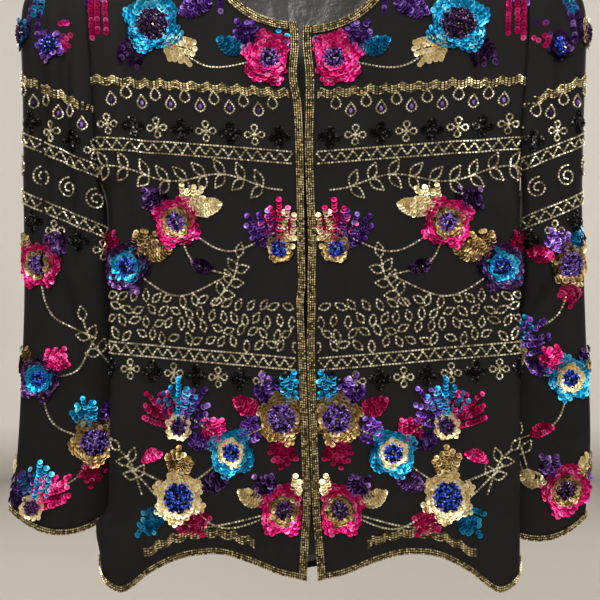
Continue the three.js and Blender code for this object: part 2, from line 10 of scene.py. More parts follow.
import bpy
import numpy as np
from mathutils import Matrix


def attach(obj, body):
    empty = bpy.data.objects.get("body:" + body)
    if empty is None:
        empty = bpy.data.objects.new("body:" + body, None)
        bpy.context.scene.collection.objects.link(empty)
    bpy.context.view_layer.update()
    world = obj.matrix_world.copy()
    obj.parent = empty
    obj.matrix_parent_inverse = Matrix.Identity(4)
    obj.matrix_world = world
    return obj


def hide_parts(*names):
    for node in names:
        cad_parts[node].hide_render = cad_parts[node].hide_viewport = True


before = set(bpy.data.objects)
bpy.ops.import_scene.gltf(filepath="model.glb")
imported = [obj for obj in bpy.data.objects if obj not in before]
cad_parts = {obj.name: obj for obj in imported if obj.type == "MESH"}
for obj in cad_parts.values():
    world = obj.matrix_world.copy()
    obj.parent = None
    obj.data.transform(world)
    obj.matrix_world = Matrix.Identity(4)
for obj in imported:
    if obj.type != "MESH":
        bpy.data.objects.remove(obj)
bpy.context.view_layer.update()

MM = 0.001
LEFT, RIGHT = -1, 1
FRONT, BACK = 1, -1

SHOULDER_BELOW_HOOK = 100
HALF_GIRTH = 500
SIDE_SEAM = HALF_GIRTH / 2
NECK_HALF_WIDTH = 90
FRONT_NECK_DROP = {LEFT: 86, RIGHT: 90.5}
BACK_NECK_DROP = 20
SHOULDER_END, SHOULDER_END_DROP = 230, 38
UNDERARM_DROP = 250
ARMHOLE_CUT = SIDE_SEAM - SHOULDER_END
SHOULDER_ROUND = 72
CUFF_WAVE = 13
FRONT_EDGING, NECK_EDGING, HEM_EDGING = 9.5, 9.5, 7.5
CLOTH = 1.5
STITCH_MARGIN = 2.5


def table(names, *rows):
    """Named columns from rows that are written out one section to a line."""
    return dict(zip(names.split(), np.array(rows, float).T))


# ---- the jacket's sections, as the solids have them ------------------------------------
BODY = table(
    "drop left right depth turn",
    (-40, 252, 252, 27, 20),
    (38, 252, 252, 27, 20),
    (62, 254, 259, 27, 20),
    (125, 249, 256, 27, 20),
    (190, 242, 249, 26, 20),
    (228, 236, 244, 26, 20),
    (250, 232, 242, 25, 20),
    (284, 222, 242, 24, 18),
    (340, 220, 242, 23, 15),
    (480, 219, 242, 22, 14),
    (626, 221, 242, 24, 14),
    (643, 235, 242, 25, 14),
    (655, 235, 242, 25, 15),
    (676, 231, 242, 26, 15),
    (716, 228, 241, 27, 16),
)

FRONT_EDGE = table(
    "drop middle gap",
    (84, -6, 3.6),
    (95, -5.2, 1.9),
    (112, -4.9, 1.5),
    (145, -4.5, 4.1),
    (178, -1.6, 1.8),
    (227, -1.1, 0.5),
    (332, 1.5, 1.7),
    (376, 1.5, 0.8),
    (392, 0.6, 2),
    (447, 1.2, 0.5),
    (612, 6.8, 0.4),
    (656, 7.5, 3.1),
    (695, 8.2, 6.1),
)

HEM_CURVE = table(
    "along drop",
    (0, 701),
    (30, 695),
    (70, 681),
    (108, 673),
    (145, 677),
    (180, 693),
    (216, 717),
    (238, 705),
    (250, 686),
)

BODY_FOLDS = table(
    "side along from to width rise",
    (LEFT, 176, 60, 330, 13, -4.5),
    (LEFT, 200, 70, 360, 12, 4),
    (LEFT, 62, 250, 640, 22, -3),
    (LEFT, 150, 400, 760, 24, 4),
    (LEFT, 96, 480, 760, 20, -4),
    (RIGHT, 188, 50, 300, 12, -4),
    (RIGHT, 160, 60, 260, 14, 3),
    (RIGHT, 140, 330, 760, 26, -4),
    (RIGHT, 58, 380, 700, 24, 3),
    (RIGHT, 196, 470, 770, 20, 4),
    (LEFT, 322, 120, 520, 20, -4),
    (LEFT, 402, 330, 770, 26, 5),
    (LEFT, 456, 260, 700, 22, -4),
    (RIGHT, 310, 100, 430, 18, -4),
    (RIGHT, 372, 360, 760, 26, 4),
    (RIGHT, 440, 300, 770, 24, -5),
)

SLEEVES = {
    LEFT: table(
        "outX outDrop inX inDrop half back",
        (243, 38, 232, 250, 17, 0),
        (270, 36.5, 233, 254, 21, 0),
        (296, 39, 231.2, 259, 24, 1),
        (312, 48, 228.8, 266, 26, 3),
        (319, 66, 226.2, 275, 27, 5),
        (321, 100, 223.2, 287, 28, 8),
        (320, 152, 222.2, 305, 28, 11),
        (320, 210, 221.3, 332, 27, 14),
        (321, 268, 220, 365, 26, 17),
        (321, 328, 217.5, 402, 25, 21),
        (322, 388, 215.5, 440, 23, 24),
        (324, 446, 214.5, 480, 21, 25),
        (327, 502, 214.5, 522, 18, 26),
        (330, 554, 216, 564, 16, 27),
        (334, 602, 218, 606, 14, 28),
        (340, 647, 220, 649, 13, 29),
    ),
    RIGHT: table(
        "outX outDrop inX inDrop half back",
        (243, 38, 242, 250, 17, 0),
        (268, 36.5, 244, 254, 21, 0),
        (293, 39, 244.5, 259, 24, 1),
        (309, 48, 244.5, 266, 26, 3),
        (316, 66, 244.5, 275, 27, 5),
        (318, 100, 244.5, 287, 28, 8),
        (317, 154, 244.5, 305, 28, 11),
        (316, 212, 244.5, 332, 27, 14),
        (316, 270, 244.5, 365, 26, 18),
        (319, 330, 240, 402, 24, 23),
        (322, 390, 234, 440, 22, 27),
        (325, 448, 228, 482, 19, 29),
        (329, 505, 222, 524, 16, 30),
        (330, 558, 217, 566, 14, 30),
        (328, 608, 214, 610, 13, 30),
        (324, 655, 212, 656, 12.5, 30),
    ),
}
for rings in SLEEVES.values():
    rings["ring"] = np.arange(len(rings["outX"]), dtype=float)
LAST_RING = 15

SLEEVE_FOLDS = table(
    "side face topX endX from to width rise",
    (LEFT, FRONT, 293, 289, 20, 350, 8, -7),
    (LEFT, FRONT, 268, 262, 30, 370, 8, -9),
    (LEFT, FRONT, 281, 247, 320, 520, 9, -6),
    (LEFT, BACK, 286, 280, 40, 360, 10, -8),
    (LEFT, BACK, 262, 290, 340, 600, 10, -5),
    (RIGHT, FRONT, 284, 280, 40, 240, 8, -6),
    (RIGHT, FRONT, 262, 258, 60, 300, 8, -5),
    (RIGHT, FRONT, 292, 240, 350, 450, 9, -7),
    (RIGHT, BACK, 276, 284, 40, 380, 10, -8),
    (RIGHT, BACK, 250, 288, 360, 600, 10, -4),
)

# Slight creases that only the visible cloth has: a centre, half its length, how far it
# leans from upright (degrees), half its width and how far it rises.
BODY_CREASES = table(
    "side along drop reach lean width rise",
    (LEFT, 214, 262, 52, 58, 6, -1.6),
    (LEFT, 205, 292, 46, 70, 6, 1.2),
    (LEFT, 120, 300, 110, 4, 10, -0.9),
    (LEFT, 88, 170, 70, -6, 8, 0.8),
    (LEFT, 46, 560, 90, 5, 9, 0.9),
    (LEFT, 118, 600, 80, -8, 9, -1.1),
    (LEFT, 205, 560, 90, 6, 8, 1.0),
    (LEFT, 186, 440, 80, -12, 8, -0.8),
    (RIGHT, 222, 256, 46, 52, 6, -1.6),
    (RIGHT, 210, 288, 44, 64, 6, 1.1),
    (RIGHT, 110, 320, 120, -5, 10, -0.9),
    (RIGHT, 74, 180, 70, 6, 8, 0.8),
    (RIGHT, 96, 560, 100, -4, 9, 1.0),
    (RIGHT, 168, 600, 80, 8, 9, -1.0),
    (RIGHT, 214, 470, 90, -6, 8, 0.9),
    (RIGHT, 30, 480, 90, 3, 8, -0.8),
    (LEFT, 284, 270, 50, -56, 7, -1.6),
    (LEFT, 350, 240, 110, 10, 9, 1.1),
    (LEFT, 430, 500, 120, -6, 10, 1.1),
    (LEFT, 300, 560, 90, 8, 9, -1.2),
    (LEFT, 480, 150, 70, 6, 9, -0.8),
    (RIGHT, 282, 268, 50, -50, 7, -1.6),
    (RIGHT, 340, 230, 110, -10, 9, 1.1),
    (RIGHT, 410, 520, 120, 6, 10, 1.1),
    (RIGHT, 296, 540, 90, -8, 9, -1.2),
    (RIGHT, 470, 420, 90, -5, 9, -0.9),
)
SLEEVE_CREASES = table(
    "side face x drop reach lean width rise",
    (LEFT, FRONT, 300, 430, 60, 24, 6, -1.6),
    (LEFT, FRONT, 252, 430, 44, -40, 6, -1.8),
    (LEFT, FRONT, 270, 560, 60, 14, 7, -1.4),
    (LEFT, FRONT, 306, 560, 50, -10, 6, 1.2),
    (LEFT, FRONT, 240, 560, 44, 6, 6, -1.3),
    (LEFT, FRONT, 246, 330, 40, -32, 6, -1.8),
    (LEFT, BACK, 300, 300, 70, 18, 7, -1.6),
    (LEFT, BACK, 254, 470, 60, -20, 7, -1.6),
    (LEFT, BACK, 290, 580, 50, 8, 7, 1.3),
    (RIGHT, FRONT, 300, 190, 60, -8, 6, 1.4),
    (RIGHT, FRONT, 306, 420, 44, 46, 6, -1.8),
    (RIGHT, FRONT, 262, 470, 50, 40, 7, -1.8),
    (RIGHT, FRONT, 290, 560, 60, -12, 7, -1.4),
    (RIGHT, FRONT, 250, 590, 44, 6, 6, -1.2),
    (RIGHT, BACK, 296, 280, 70, -14, 7, -1.6),
    (RIGHT, BACK, 256, 480, 60, 22, 7, -1.6),
    (RIGHT, BACK, 286, 590, 50, -6, 7, 1.3),
)

ARMHOLE_ROWS = (38, 42, 52, 70, 95, 125, 155, 185, 212, 233, 245, 250)
SIDE_ROWS = (268, 300, 340, 385, 430, 475, 520, 565, 610, 648)
NECK_COLUMNS = (25, 45, 62, 76, 85, 88.8, NECK_HALF_WIDTH)
SHOULDER_COLUMNS = (112, 135, 158, 182, 206, SHOULDER_END)
BACK_NECK_COLUMNS = (0, 30, 56, 76, 86, NECK_HALF_WIDTH)
FRONT_COLUMNS = (26, 47, 68, 89, 110, 132, 154, 176, 196, 212, 225, 238, SIDE_SEAM)
BACK_COLUMNS = (0, 22, 45, 68, 92, 116, 142, 168, 192, 213, 232, SIDE_SEAM)


# ---- small maths -----------------------------------------------------------------------
def mix(low, high, share):
    return low + (high - low) * share


def ease(value):
    t = np.clip(value, 0, 1)
    return t * t * (3 - 2 * t)


def bell(distance, width):
    return np.exp(-((distance / width) ** 2))


def read(rows, column, at, key="drop"):
    """A smooth reading of one column, which never overshoots its rows."""
    keys, values = rows[key], rows[column]
    last = len(keys) - 1
    at = np.clip(at, keys[0], keys[-1])
    low = np.clip(np.searchsorted(keys, at) - 1, 0, last - 1)
    before, after = np.clip(np.arange(last + 1) + [[-1], [1]], 0, last)
    slopes = (values[after] - values[before]) / (keys[after] - keys[before])
    span = keys[low + 1] - keys[low]
    rise = values[low + 1] - values[low]

    def limited(slope):
        along = np.where(np.sign(slope) == np.sign(rise), 1, 0)
        return np.sign(rise) * np.minimum(np.abs(slope * span), 3 * np.abs(rise)) * along

    start, end = limited(slopes[low]), limited(slopes[low + 1])
    t = (at - keys[low]) / span
    return (values[low] + t * start + t * t * (3 * rise - 2 * start - end)
            + t * t * t * (start + end - 2 * rise))


def rows_of(rows, **wanted):
    """The rows of a table that have these values, one dictionary each."""
    names = list(rows)
    for values in zip(*rows.values()):
        row = dict(zip(names, values))
        if all(row[name] == value for name, value in wanted.items()):
            yield row


def fold_strength(fold, drop):
    t = np.clip((drop - fold["from"]) / (fold["to"] - fold["from"]), 0, 1)
    return np.sin(np.pi * t) ** 0.7


def crease(row, across, down):
    """How far one slight crease lifts the cloth at these distances from its centre."""
    lean = math.radians(row["lean"])
    length = across * math.sin(lean) + down * math.cos(lean)
    side = across * math.cos(lean) - down * math.sin(lean)
    fade = np.clip(1 - (length / row["reach"]) ** 2, 0, 1) ** 2
    return row["rise"] * bell(side, row["width"]) * fade


# ---- the cloth's surfaces --------------------------------------------------------------
def to_side_seam(along):
    return np.minimum(along, HALF_GIRTH - along)


def shoulder_drop(along):
    run = SHOULDER_END - NECK_HALF_WIDTH
    return SHOULDER_END_DROP * (to_side_seam(along) - NECK_HALF_WIDTH) / run


def hem_drop(along):
    return read(HEM_CURVE, "drop", to_side_seam(along), "along")


def armhole_along(drop):
    share = np.clip((drop - SHOULDER_END_DROP) / (UNDERARM_DROP - SHOULDER_END_DROP), 0, 1)
    return SIDE_SEAM - ARMHOLE_CUT * np.sqrt(1 - share ** 3)


def top_drop(along, neck_depth):
    inside = np.clip(along / NECK_HALF_WIDTH, 0, 1)
    neck = neck_depth * np.sqrt(1 - inside ** 2)
    return np.where(along < NECK_HALF_WIDTH, neck, shoulder_drop(along))


def body_relief(side, along, drop):
    """Folds, slight creases and the dips at the seams, all measured out of the cloth."""
    rise = np.zeros_like(along)
    for fold in rows_of(BODY_FOLDS, side=side):
        rise += fold["rise"] * fold_strength(fold, drop) * bell(along - fold["along"], fold["width"])
    for row in rows_of(BODY_CREASES, side=side):
        rise += crease(row, along - row["along"], drop - row["drop"])
    ripple = np.sin(along / 15 + 1.4 * np.sin(drop / 70)) * np.sin(drop / 84 + along / 60)
    at_side = np.where(drop < UNDERARM_DROP, armhole_along(drop), SIDE_SEAM)
    seam = bell(to_side_seam(along) - at_side, 2.2)
    return rise + 0.3 * ripple - 0.5 * seam


def body_point(side, along, drop):
    along, drop = np.broadcast_arrays(np.asarray(along, float), np.asarray(drop, float))
    on_front = along <= SIDE_SEAM
    gap = read(FRONT_EDGE, "gap", drop) * (1 - ease(along / (SIDE_SEAM / 2)))
    relief = body_relief(side, along, drop)
    along = np.where(on_front, along + gap, along)
    half_width = read(BODY, "left" if side == LEFT else "right", drop)
    depth, turn = read(BODY, "depth", drop), read(BODY, "turn", drop)
    flat = SIDE_SEAM - turn * math.pi / 2
    reach = to_side_seam(along)
    middle = np.where(on_front, side * read(FRONT_EDGE, "middle", drop), 0)
    edge = half_width - turn
    angle = np.maximum(0, (reach - flat) / turn)
    across = np.where(reach < flat, mix(middle, edge, reach / flat), edge + turn * np.sin(angle))
    crown = (1 - np.clip(reach / flat, 0, 1) ** 3) ** 2
    below = np.clip((drop - shoulder_drop(along)) / SHOULDER_ROUND, 0, 1)
    rounding = np.sqrt(1 - (1 - below) ** 2)
    rise = relief * rounding
    out = turn * np.cos(angle) + (depth - turn) * crown
    facing = np.where(on_front, -1, 1)
    return np.stack([
        side * (across + rise * np.sin(angle)),
        facing * (out * rounding + rise * np.cos(angle)),
        -SHOULDER_BELOW_HOOK - drop,
    ], -1)


def armhole_point(side, angle):
    drop = mix(SHOULDER_END_DROP, UNDERARM_DROP, (1 - np.cos(angle)) / 2)
    along = armhole_along(drop)
    along = np.where(np.sin(angle) >= 0, along, HALF_GIRTH - along)
    return body_point(side, along, drop)


def sleeve_relief(side, angle, x, drop):
    rise = np.zeros_like(x)
    for face in (FRONT, BACK):
        here = np.zeros_like(x)
        for fold in rows_of(SLEEVE_FOLDS, side=side, face=face):
            share = np.clip((drop - fold["from"]) / (fold["to"] - fold["from"]), 0, 1)
            line = mix(fold["topX"], fold["endX"], share)
            here += fold["rise"] * fold_strength(fold, drop) * bell(x - line, fold["width"])
        for row in rows_of(SLEEVE_CREASES, side=side, face=face):
            here += crease(row, x - row["x"], drop - row["drop"])
        rise = np.where((np.sin(angle) >= 0) == (face == FRONT), here, rise)
    ripple = np.sin(x / 7 + 2 * np.sin(drop / 50)) * np.sin(drop / 64 + x / 40)
    return (rise + 0.35 * ripple) * np.minimum(1, 1.6 * np.abs(np.sin(angle)))


def sleeve_ring(side, angle, place):
    """Across, drop and depth of a sleeve's ring, before its folds."""
    rings = SLEEVES[side]
    to_out = (1 + np.cos(angle)) / 2
    x = mix(read(rings, "inX", place, "ring"), read(rings, "outX", place, "ring"), to_out)
    scallop = -CUFF_WAVE * np.cos(2 * angle) * ease((place - 12) / 3)
    drop = mix(read(rings, "inDrop", place, "ring"), read(rings, "outDrop", place, "ring"), to_out)
    around = np.sign(np.sin(angle)) * np.abs(np.sin(angle)) ** 0.75
    return x, drop + scallop, around


def sleeve_point(side, angle, place):
    angle, place = np.broadcast_arrays(np.asarray(angle, float), np.asarray(place, float))
    rings = SLEEVES[side]
    x, drop, around = sleeve_ring(side, angle, place)
    relief = np.sign(around) * sleeve_relief(side, angle, x, drop)
    out = read(rings, "half", place, "ring") * around + relief
    back = read(rings, "back", place, "ring")
    ring = np.stack([side * x, back - out, -SHOULDER_BELOW_HOOK - drop], -1)
    return mix(armhole_point(side, angle), ring, ease(place / 1.6)[..., None])


class SleeveMap:
    """Finds a sleeve's surface from millimetres round it and its drop.

    Round a sleeve, 0 is its outer edge, the front is positive and the back negative.
    """

    REACH = 140

    def __init__(self, side):
        self.side = side
        self.drops = np.arange(36.0, 664.0, 4.0)
        angles = np.linspace(-math.pi, math.pi, 181)
        middle = len(angles) // 2
        steps = np.arange(-self.REACH, self.REACH + 1.0)
        self.angles, self.front, self.back = [], [], []
        for drop in self.drops:
            place = self.place(angles, drop)
            points = sleeve_point(side, angles, place)
            lengths = np.linalg.norm(np.diff(points, axis=0), axis=1)
            run = np.concatenate([[0], np.cumsum(lengths)])
            run -= run[middle]
            on_cloth = np.abs(sleeve_ring(side, angles, place)[1] - drop) < 1
            self.angles.append(np.interp(steps, run, angles))
            self.front.append(run[middle:][on_cloth[middle:]].max(initial=0))
            self.back.append(run[:middle + 1][on_cloth[:middle + 1]].min(initial=0))
        self.angles = np.array(self.angles)

    def place(self, angle, drop):
        """The ring whose drop at this angle is the one asked for."""
        low, high = np.zeros(np.shape(angle)), np.full(np.shape(angle), float(LAST_RING))
        for _ in range(20):
            place = (low + high) / 2
            above = sleeve_ring(self.side, angle, place)[1] < drop
            low, high = np.where(above, place, low), np.where(above, high, place)
        return (low + high) / 2

    def angle(self, around, drop):
        row = np.clip((drop - self.drops[0]) / 4, 0, len(self.drops) - 1.001)
        column = np.clip(around + self.REACH, 0, 2 * self.REACH - 0.001)
        r, c = row.astype(int), column.astype(int)
        top = mix(self.angles[r, c], self.angles[r, c + 1], column - c)
        low = mix(self.angles[r + 1, c], self.angles[r + 1, c + 1], column - c)
        return mix(top, low, row - r)

    def __call__(self, around, drop):
        around, drop = np.broadcast_arrays(np.asarray(around, float), np.asarray(drop, float))
        angle = self.angle(around, drop)
        return sleeve_point(self.side, angle, self.place(angle, drop))

    def holds(self, around, drop):
        """Which places lie on the sleeve, inside its seams and above its cuff's edging."""
        front = np.interp(drop, self.drops, self.front) - STITCH_MARGIN
        back = np.interp(drop, self.drops, self.back) + STITCH_MARGIN
        cuff = sleeve_ring(self.side, self.angle(around, drop), float(LAST_RING))[1]
        above_cuff = drop < cuff - HEM_EDGING - STITCH_MARGIN
        return above_cuff & (around < front) & (around > back)


# ---- meshes from arrays ----------------------------------------------------------------
BAKE_MAP = "OFBake"


def mesh_piece(name, points, faces, corner_uv, materials, slots=None):
    """A finished piece from arrays, in metres, riding on the jacket's one body."""
    mesh = bpy.data.meshes.new(name)
    faces = np.asarray(faces)
    count, sides = faces.shape
    mesh.vertices.add(len(points))
    mesh.vertices.foreach_set("co", (np.asarray(points) * MM).ravel())
    mesh.loops.add(count * sides)
    mesh.loops.foreach_set("vertex_index", faces.ravel())
    mesh.polygons.add(count)
    mesh.polygons.foreach_set("loop_start", np.arange(count) * sides)
    for material in materials:
        mesh.materials.append(material)
    if slots is not None:
        mesh.polygons.foreach_set("material_index", slots)
    mesh.update(calc_edges=True)
    mesh.polygons.foreach_set("use_smooth", np.ones(count, bool))
    bake_map = mesh.uv_layers.new(name=BAKE_MAP)
    bake_map.data.foreach_set("uv", np.asarray(corner_uv, float).ravel())
    mesh.validate()
    piece = bpy.data.objects.new(name, mesh)
    bpy.context.scene.collection.objects.link(piece)
    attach(piece, "root")
    return piece


def grid_normals(grid, hand, closed):
    if closed:
        across = np.roll(grid, -1, 1) - np.roll(grid, 1, 1)
    else:
        across = np.gradient(grid, axis=1)
    normals = hand * np.cross(np.gradient(grid, axis=0), across)
    return normals / np.linalg.norm(normals, axis=-1, keepdims=True)


def keep_to_side(points, facing):
    """Keeps a front (-1) or the back (1) on its own side of the plane through the seams."""
    if facing:
        points[..., 1] = facing * np.maximum(facing * points[..., 1], 0)
    return points


def shell(name, grid, hand, material, thick=CLOTH, lift=0.0, closed=False, facing=0):
    """Thin cloth: a grid's outer face, its inner face and the edges that join them."""
    normals = grid_normals(grid, hand, closed)
    rows, columns = grid.shape[:2]
    outer = keep_to_side(grid + normals * lift, facing)
    inner = keep_to_side(grid + normals * (lift - thick), facing)
    points = np.concatenate([outer.reshape(-1, 3), inner.reshape(-1, 3)])
    spans = columns if closed else columns - 1
    r, c = np.meshgrid(np.arange(rows - 1), np.arange(spans), indexing="ij")
    a, b = r * columns + c, (r + 1) * columns + c
    d, e = r * columns + (c + 1) % columns, (r + 1) * columns + (c + 1) % columns
    skip = rows * columns
    out_faces = np.stack([a, b, e, d], -1).reshape(-1, 4)
    in_faces = np.stack([a, d, e, b], -1).reshape(-1, 4) + skip
    u, v = (c / spans)[..., None], (r / (rows - 1))[..., None]
    du, dv = 1 / spans, 1 / (rows - 1)
    cell = np.concatenate([u, v, u, v + dv, u + du, v + dv, u + du, v], -1).reshape(-1, 4, 2)
    turned = cell[:, [0, 3, 2, 1]]
    shrink = np.array([0.47, 0.94])
    uv = [cell * shrink + 0.01, turned * shrink + [0.51, 0.01]]
    rims, rim_uv = [], []
    top = np.arange(spans)
    for row, flip in ((0, False), (rows - 1, True)):
        first, second = row * columns + top, row * columns + (top + 1) % columns
        edge = np.stack([first, second, second + skip, first + skip], -1)
        rims.append(edge[:, ::-1] if flip else edge)
        rim_uv.append((top / spans, 0.96 if flip else 0.975))
    if not closed:
        side = np.arange(rows - 1)
        for column, flip in ((0, True), (columns - 1, False)):
            first, second = side * columns + column, (side + 1) * columns + column
            edge = np.stack([first, second, second + skip, first + skip], -1)
            rims.append(edge[:, ::-1] if flip else edge)
            rim_uv.append((side / (rows - 1), 0.988 if flip else 0.9945))
    for start, height in rim_uv:
        step = 0.98 / len(start)
        box = np.array([[0, 0], [step, 0], [step, 0.005], [0, 0.005]])
        uv.append(box[None] + np.stack([start * 0.98 + 0.01, np.full(len(start), height)], -1)[:, None])
    faces = np.concatenate([out_faces, in_faces, *rims])
    if hand < 0:
        faces = faces[:, ::-1]
    return mesh_piece(name, points, faces, np.concatenate(uv), [material])


# ---- grids of the panels ---------------------------------------------------------------
FINER = 4


def finer(values):
    steps = np.arange((len(values) - 1) * FINER + 1) / FINER
    return np.interp(steps, np.arange(len(values)), values)


def row_drops():
    end = float(hem_drop(SIDE_SEAM))
    return finer([*ARMHOLE_ROWS, *SIDE_ROWS, end - HEM_EDGING, end])[:, None]


def side_along(drops):
    return np.where(drops < UNDERARM_DROP, armhole_along(drops), SIDE_SEAM)


def front_grid(side):
    tops = finer([0, FRONT_EDGING, *NECK_COLUMNS, *SHOULDER_COLUMNS])
    lows = finer([0, FRONT_EDGING, *FRONT_COLUMNS])
    drops = row_drops()
    share = (drops - drops[0]) / (drops[-1] - drops[0])
    top_share = (tops - FRONT_EDGING) / (SHOULDER_END - FRONT_EDGING)
    low_share = (lows - FRONT_EDGING) / (SIDE_SEAM - FRONT_EDGING)
    place = mix(top_share, low_share, ease(share / 0.4))
    along = np.where(tops < FRONT_EDGING, tops, mix(FRONT_EDGING, side_along(drops), place))
    drop = mix(top_drop(tops, FRONT_NECK_DROP[side]), hem_drop(along), share)
    return body_point(side, along, drop)


def back_grid():
    tops = finer([*BACK_NECK_COLUMNS, *SHOULDER_COLUMNS])
    lows = finer(BACK_COLUMNS)
    drops = row_drops()
    share = (drops - drops[0]) / (drops[-1] - drops[0])
    place = mix(tops / SHOULDER_END, lows / SIDE_SEAM, ease(share / 0.4))
    inset = side_along(drops) * place
    drop = mix(top_drop(tops, BACK_NECK_DROP), hem_drop(HALF_GIRTH - inset), share)
    right = body_point(RIGHT, HALF_GIRTH - inset - 1e-6, drop)
    left = body_point(LEFT, HALF_GIRTH - inset - 1e-6, drop)
    middle = (right[:, :1] + left[:, :1]) / 2
    return np.concatenate([right[:, :0:-1], middle, left[:, 1:]], 1)


def sleeve_grid(side):
    places = finer(np.arange(LAST_RING + 1.0))
    count = 112
    angles = np.arange(count) * 2 * math.pi / count
    return sleeve_point(side, angles[None], places[:, None])


# ---- places that stitches go -----------------------------------------------------------
class Panel:
    """Cloth to sew on: its surface, which way is out, and which places it has."""

    STEP = 0.5

    def __init__(self, surface, hand, holds):
        self.surface = surface
        self.hand = hand
        self.holds = holds

    def axes(self, along, drop):
        """Points, with the way away from the front's middle, up, and out of the cloth."""
        point = self.surface(along, drop)
        away = self.surface(along + self.STEP, drop) - point
        down = self.surface(along, drop + self.STEP) - point
        out = self.hand * np.cross(away, down)
        out /= np.linalg.norm(out, axis=-1, keepdims=True)
        away /= np.linalg.norm(away, axis=-1, keepdims=True)
        up = self.hand * np.cross(away, out)
        return point, away, up, out


def on_body(side):
    """Which places lie on the cloth of one half, inside its seams and its edgings."""
    def holds(along, drop):
        reach = to_side_seam(along)
        front = along < SIDE_SEAM
        inside_hem = drop < hem_drop(along) - HEM_EDGING - STITCH_MARGIN
        inside_edge = np.where(front, along > FRONT_EDGING + STITCH_MARGIN, along <= HALF_GIRTH)
        depth = np.where(front, FRONT_NECK_DROP[side], BACK_NECK_DROP) + NECK_EDGING + STITCH_MARGIN
        centre = np.where(front, along, HALF_GIRTH - along)
        half = NECK_HALF_WIDTH + NECK_EDGING + STITCH_MARGIN
        below_neck = (centre / half) ** 2 + (drop / depth) ** 2 > 1
        below_shoulder = drop > shoulder_drop(along) + STITCH_MARGIN
        in_armhole = (drop > UNDERARM_DROP) | (reach < armhole_along(drop) - STITCH_MARGIN)
        return inside_hem & inside_edge & below_neck & below_shoulder & in_armhole
    return holds


def body_panel(side):
    return Panel(lambda along, drop: body_point(side, along, drop), -side, on_body(side))


SLEEVE_FOLD = 40


def outside_fold(cloth):
    """Which places of the left sleeve show: not those that lie down in its fold."""
    def holds(around, drop):
        in_fold = (np.abs(around - SLEEVE_FOLD) < 1.5) & (np.abs(drop - 240) < 140)
        return cloth.holds(around, drop) & ~in_fold
    return holds


def sleeve_panel(side):
    cloth = SleeveMap(side)
    if side == LEFT:
        return Panel(cloth, side, outside_fold(cloth))
    return Panel(cloth, side, cloth.holds)


def everywhere(along, drop):
    return np.ones(np.shape(along), bool)


def edge_panel(side):
    return Panel(lambda along, drop: body_point(side, along, drop), -side, everywhere)


CUFF_RADIUS = 40


def cuff_panel(side):
    """A cuff's edging: millimetres round it, and down from the edging's upper line."""
    rings = SLEEVES[side]
    span = rings["outDrop"][-1] - rings["outDrop"][-2]

    def surface(around, down):
        return sleeve_point(side, around / CUFF_RADIUS, LAST_RING + (down - HEM_EDGING) / span)

    return Panel(surface, side, everywhere)


# ---- stitches --------------------------------------------------------------------------
chance = np.random.default_rng(11)


class Work:
    """Beads and sequins by finish, a row each: along, drop, heading, lean, lift, long, wide.

    A heading is in degrees: 0 is away from the front's middle and 90 is up. A lean lifts
    the end that the heading points to.
    """

    def __init__(self):
        self.rows = {}

    def sew(self, finish, along, drop, heading=0.0, lean=0.0, lift=0.0, long=2.6, wide=None):
        values = (along, drop, heading, lean, lift, long, long if wide is None else wide)
        rows = np.stack(np.broadcast_arrays(*values), -1).reshape(-1, 7)
        self.rows.setdefault(finish, []).append(rows.astype(float))

    def add(self, other):
        for finish, rows in other.rows.items():
            self.rows.setdefault(finish, []).extend(rows)

    def reflected(self, middle):
        """The same work turned over about an upright line."""
        turned = Work()
        for finish, rows in self.rows.items():
            flat = np.concatenate(rows)
            flat[:, 0] = 2 * middle - flat[:, 0]
            flat[:, 2] = 180 - flat[:, 2]
            turned.rows[finish] = [flat]
        return turned


def smooth(*points, steps=12):
    """A fine line that passes smoothly through the points."""
    p = np.array(points, float)
    p = np.concatenate([[2 * p[0] - p[1]], p, [2 * p[-1] - p[-2]]])
    t = np.linspace(0, 1, steps, endpoint=False)[:, None]
    spans = [
        0.5 * (2 * b + (c - a) * t + (2 * a - 5 * b + 4 * c - d) * t ** 2
               + (3 * b - a - 3 * c + d) * t ** 3)
        for a, b, c, d in zip(p, p[1:], p[2:], p[3:])
    ]
    return np.concatenate([*spans, p[-2:-1]])


def spaced(line, pitch, points=None):
    """Evenly spaced places along a line, measured on its points, with the heading at each."""
    steps = np.diff(line if points is None else points, axis=0)
    run = np.concatenate([[0], np.cumsum(np.linalg.norm(steps, axis=1))])
    count = max(2, round(run[-1] / pitch) + 1)
    at = np.linspace(0, run[-1], count)
    places = np.stack([np.interp(at, run, line[:, 0]), np.interp(at, run, line[:, 1])], -1)
    heading = np.degrees(np.arctan2(*(-np.gradient(places, axis=0)[:, 1],
                                      np.gradient(places, axis=0)[:, 0])))
    return places, heading


def toward(origin, heading, length):
    """The place this far from another, in the direction of the heading."""
    turn = math.radians(heading)
    return np.array(origin, float) + length * np.array([math.cos(turn), -math.sin(turn)])


BEAD_PITCH, FINE_PITCH, BEAD_SHARE, BEAD_WIDE = 3.7, 2.7, 0.75, 2.3
EDGE_PITCH, EDGE_LONG, EDGE_WIDE = 2.7, 2.1, 1.8


def bead_line(work, line, finish="gold", pitch=BEAD_PITCH, wide=BEAD_WIDE):
    places, heading = spaced(line, pitch)
    uneven = chance.uniform(-1, 1, (2, len(places)))
    work.sew(finish, *places.T, heading + 5 * uneven[0], lift=0.4 * wide + 0.15 * uneven[1],
             long=BEAD_SHARE * pitch, wide=wide)


